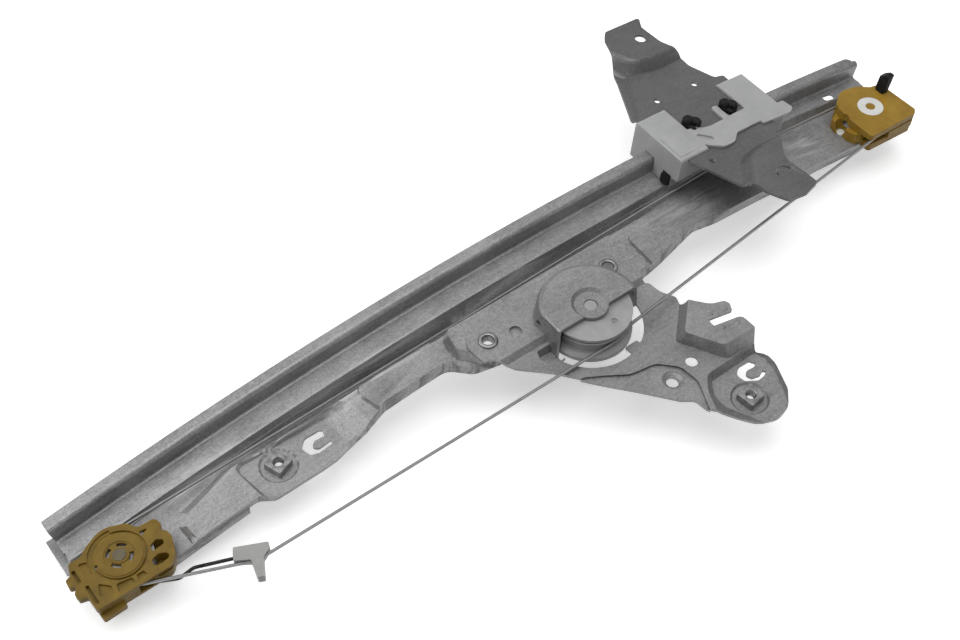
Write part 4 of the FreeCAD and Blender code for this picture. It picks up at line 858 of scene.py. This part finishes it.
@dataclass
class PhotoCamera:
    """The camera at the photograph's view of the object."""

    focal_px: float = 1450.24
    azimuth_deg: float = -39.02
    elevation_deg: float = 51.66
    roll_deg: float = 2.49
    target_mm: Triple = (-39.75, 30.67, 0.0)
    distance_mm: float = 671.74
    clip_m: Span = (0.02, 20.0)

    def build(self) -> None:
        """Places the camera."""
        a, e, r = (math.radians(x) for x in (self.azimuth_deg, self.elevation_deg, self.roll_deg))
        back = Vector((math.sin(a) * math.cos(e), -math.cos(a) * math.cos(e), math.sin(e)))
        level = Vector((math.cos(a), math.sin(a), 0.0))
        upright = back.cross(level)
        right = level * math.cos(r) + upright * math.sin(r)
        up = upright * math.cos(r) - level * math.sin(r)
        data = bpy.data.cameras.new("photo_camera")
        data.sensor_width = SENSOR_MM
        data.lens = self.focal_px * SENSOR_MM / IMAGE_WIDTH_PX
        data.clip_start, data.clip_end = self.clip_m
        camera = bpy.data.objects.new("photo_camera", data)
        bpy.context.scene.collection.objects.link(camera)
        place = Vector(self.target_mm) * MM + back * self.distance_mm * MM
        turn = Matrix((right, up, back)).transposed()
        camera.matrix_world = Matrix.Translation(place) @ turn.to_4x4()
        bpy.context.scene.camera = camera


@dataclass
class RailUnit:
    """The bowed guide rail with its fixing nuts and rivets."""

    sheet_edge: Rounding = Rounding(0.3, bend_mm=1.2)
    nut_edge: Rounding = Rounding(0.4, 3)
    nut_threads: tuple[Thread, ...] = (Thread((-153.0, 27.0, -13.0)), Thread((34.5, -73.5, -2.6)))

    def build(self, finishes: Finishes) -> list[bpy.types.Object]:
        """Dresses the rail and its fasteners.

        Args:
            finishes: The object's finishes.

        Returns:
            The pieces.
        """
        edge = finishes.get(Finishes.CUT_EDGE_AND_HIGHLIGHT)
        steel = finishes.get(Finishes.FASTENER)
        threads = [thread.build(f"nut_thread_{i}", Body.FRAME, steel)
                   for i, thread in enumerate(self.nut_threads)]
        return threads + [
            rounded_piece("guide_rail", "guide_rail_pressing", Body.FRAME, self.sheet_edge,
                          finishes.get(Finishes.RAIL), edge, StripForm()),
            rounded_piece("weld_nuts", "weld_nuts_plated", Body.FRAME, self.nut_edge, steel),
            rounded_piece("rail_rivets", "rail_rivets_plated", Body.FRAME, self.nut_edge, steel),
        ]


@dataclass
class DriveUnit:
    """The motor plate with the cable drum under its dome."""

    sheet_edge: Rounding = Rounding(0.3, bend_mm=1.7, cut_over_deg=86.0, shortest_bend_mm=1.5)
    drum_edge: Rounding = Rounding(0.2)

    def build(self, finishes: Finishes) -> list[bpy.types.Object]:
        """Dresses the plate, the drum and what is wound on it.

        Args:
            finishes: The object's finishes.

        Returns:
            The pieces.
        """
        nodes = bpy.data.objects
        return [
            rounded_piece("motor_plate", "motor_plate_pressing", Body.FRAME, self.sheet_edge,
                          finishes.get(Finishes.PLATE), finishes.get(Finishes.CUT_EDGE_AND_HIGHLIGHT)),
            rounded_piece("cable_drum", "cable_drum_moulding", Body.DRUM, self.drum_edge,
                          finishes.get(Finishes.DRUM)),
            dress(nodes["drum_winding"], finishes.get(Finishes.CABLE)),
            dress(nodes["drum_nipples"], finishes.get(Finishes.FASTENER)),
        ]


@dataclass
class PulleyEnds:
    """The pulleys at the rail's two ends, with their housings, pins and stops."""

    moulded_edge: Rounding = Rounding(0.35, 3)
    small_edge: Rounding = Rounding(0.25)

    def build(self, finishes: Finishes) -> list[bpy.types.Object]:
        """Dresses the pieces of both ends.

        Args:
            finishes: The object's finishes.

        Returns:
            The pieces.
        """
        white = finishes.get(Finishes.WHITE)
        bright = finishes.get(Finishes.BRIGHT_WHITE)
        return [
            rounded_piece("lower_pulley_housing", "lower_housing_moulding", Body.FRAME, self.moulded_edge,
                          finishes.get(Finishes.LOWER_AMBER)),
            rounded_piece("upper_pulley_housing", "upper_housing_moulding", Body.FRAME, self.moulded_edge,
                          finishes.get(Finishes.UPPER_AMBER)),
            rounded_piece("lower_pulley", "lower_pulley_wheel", Body.LOWER_WHEEL, self.small_edge, white),
            rounded_piece("upper_pulley", "upper_pulley_wheel", Body.UPPER_WHEEL, self.small_edge, white),
            rounded_piece("lower_pulley_axle", "lower_axle_headed", Body.FRAME, self.small_edge,
                          finishes.get(Finishes.AXLE)),
            rounded_piece("upper_pulley_bush", "upper_bush_flanged", Body.FRAME, self.small_edge, bright),
            rounded_piece("upper_locating_pin", "upper_pin_rounded", Body.FRAME, self.small_edge, bright),
            rounded_piece("upper_stop_peg", "upper_stop_rubber", Body.FRAME, self.small_edge,
                          finishes.get(Finishes.RUBBER)),
        ]


@dataclass
class CableRun:
    """The two cables, the spring wire and the guide clip."""

    clip_edge: Rounding = Rounding(0.3, 3)

    def build(self, finishes: Finishes) -> list[bpy.types.Object]:
        """Dresses the cables and what holds them.

        Args:
            finishes: The object's finishes.

        Returns:
            The pieces.
        """
        nodes = bpy.data.objects
        cable = finishes.get(Finishes.CABLE)
        return [
            dress(nodes["upper_cable"], cable),
            dress(nodes["lower_cable"], cable),
            dress(nodes["tension_spring_wire"], finishes.get(Finishes.WIRE)),
            rounded_piece("cable_guide_clip", "cable_guide_clip_moulding", Body.FRAME, self.clip_edge,
                          finishes.get(Finishes.CLIP)),
        ]


@dataclass
class CarrierUnit:
    """The moulded slider with its lift plate, cable clips and bumper."""

    moulded_edge: Rounding = Rounding(0.4, 3)
    sheet_edge: Rounding = Rounding(0.3, bend_mm=1.2)
    small_edge: Rounding = Rounding(0.25)

    def build(self, finishes: Finishes) -> list[bpy.types.Object]:
        """Dresses the carrier's pieces.

        Args:
            finishes: The object's finishes.

        Returns:
            The pieces.
        """
        nodes = bpy.data.objects
        black = finishes.get(Finishes.BLACK)
        return [
            rounded_piece("carrier_slider", "carrier_slider_moulding", Body.CARRIER, self.moulded_edge,
                          finishes.get(Finishes.WHITE)),
            rounded_piece("lift_plate", "lift_plate_pressing", Body.CARRIER, self.sheet_edge,
                          finishes.get(Finishes.LIFT), finishes.get(Finishes.CUT_EDGE_AND_HIGHLIGHT)),
            rounded_piece("upper_cable_clip", "upper_cable_clip_moulding", Body.CARRIER,
                          self.small_edge, black),
            rounded_piece("lower_cable_clip", "lower_cable_clip_moulding", Body.CARRIER,
                          self.small_edge, black),
            rounded_piece("slider_bumper", "slider_bumper_rubber", Body.CARRIER, self.small_edge,
                          finishes.get(Finishes.RUBBER)),
            dress(nodes["cable_nipples"], finishes.get(Finishes.FASTENER)),
        ]


def main() -> None:
    """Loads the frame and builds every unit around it."""
    logging.basicConfig(level=logging.INFO, format="%(message)s")
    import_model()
    frame_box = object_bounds()
    PhotoCamera().build()
    finishes = Finishes()
    for unit in (RailUnit(), DriveUnit(), PulleyEnds(), CableRun(), CarrierUnit()):
        for piece in unit.build(finishes):
            LOG.info("%s: %s, %d faces", type(unit).__name__, piece.name, len(piece.data.polygons))
    Studio().build(frame_box[0])
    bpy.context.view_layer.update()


if __name__ == "__main__":
    main()
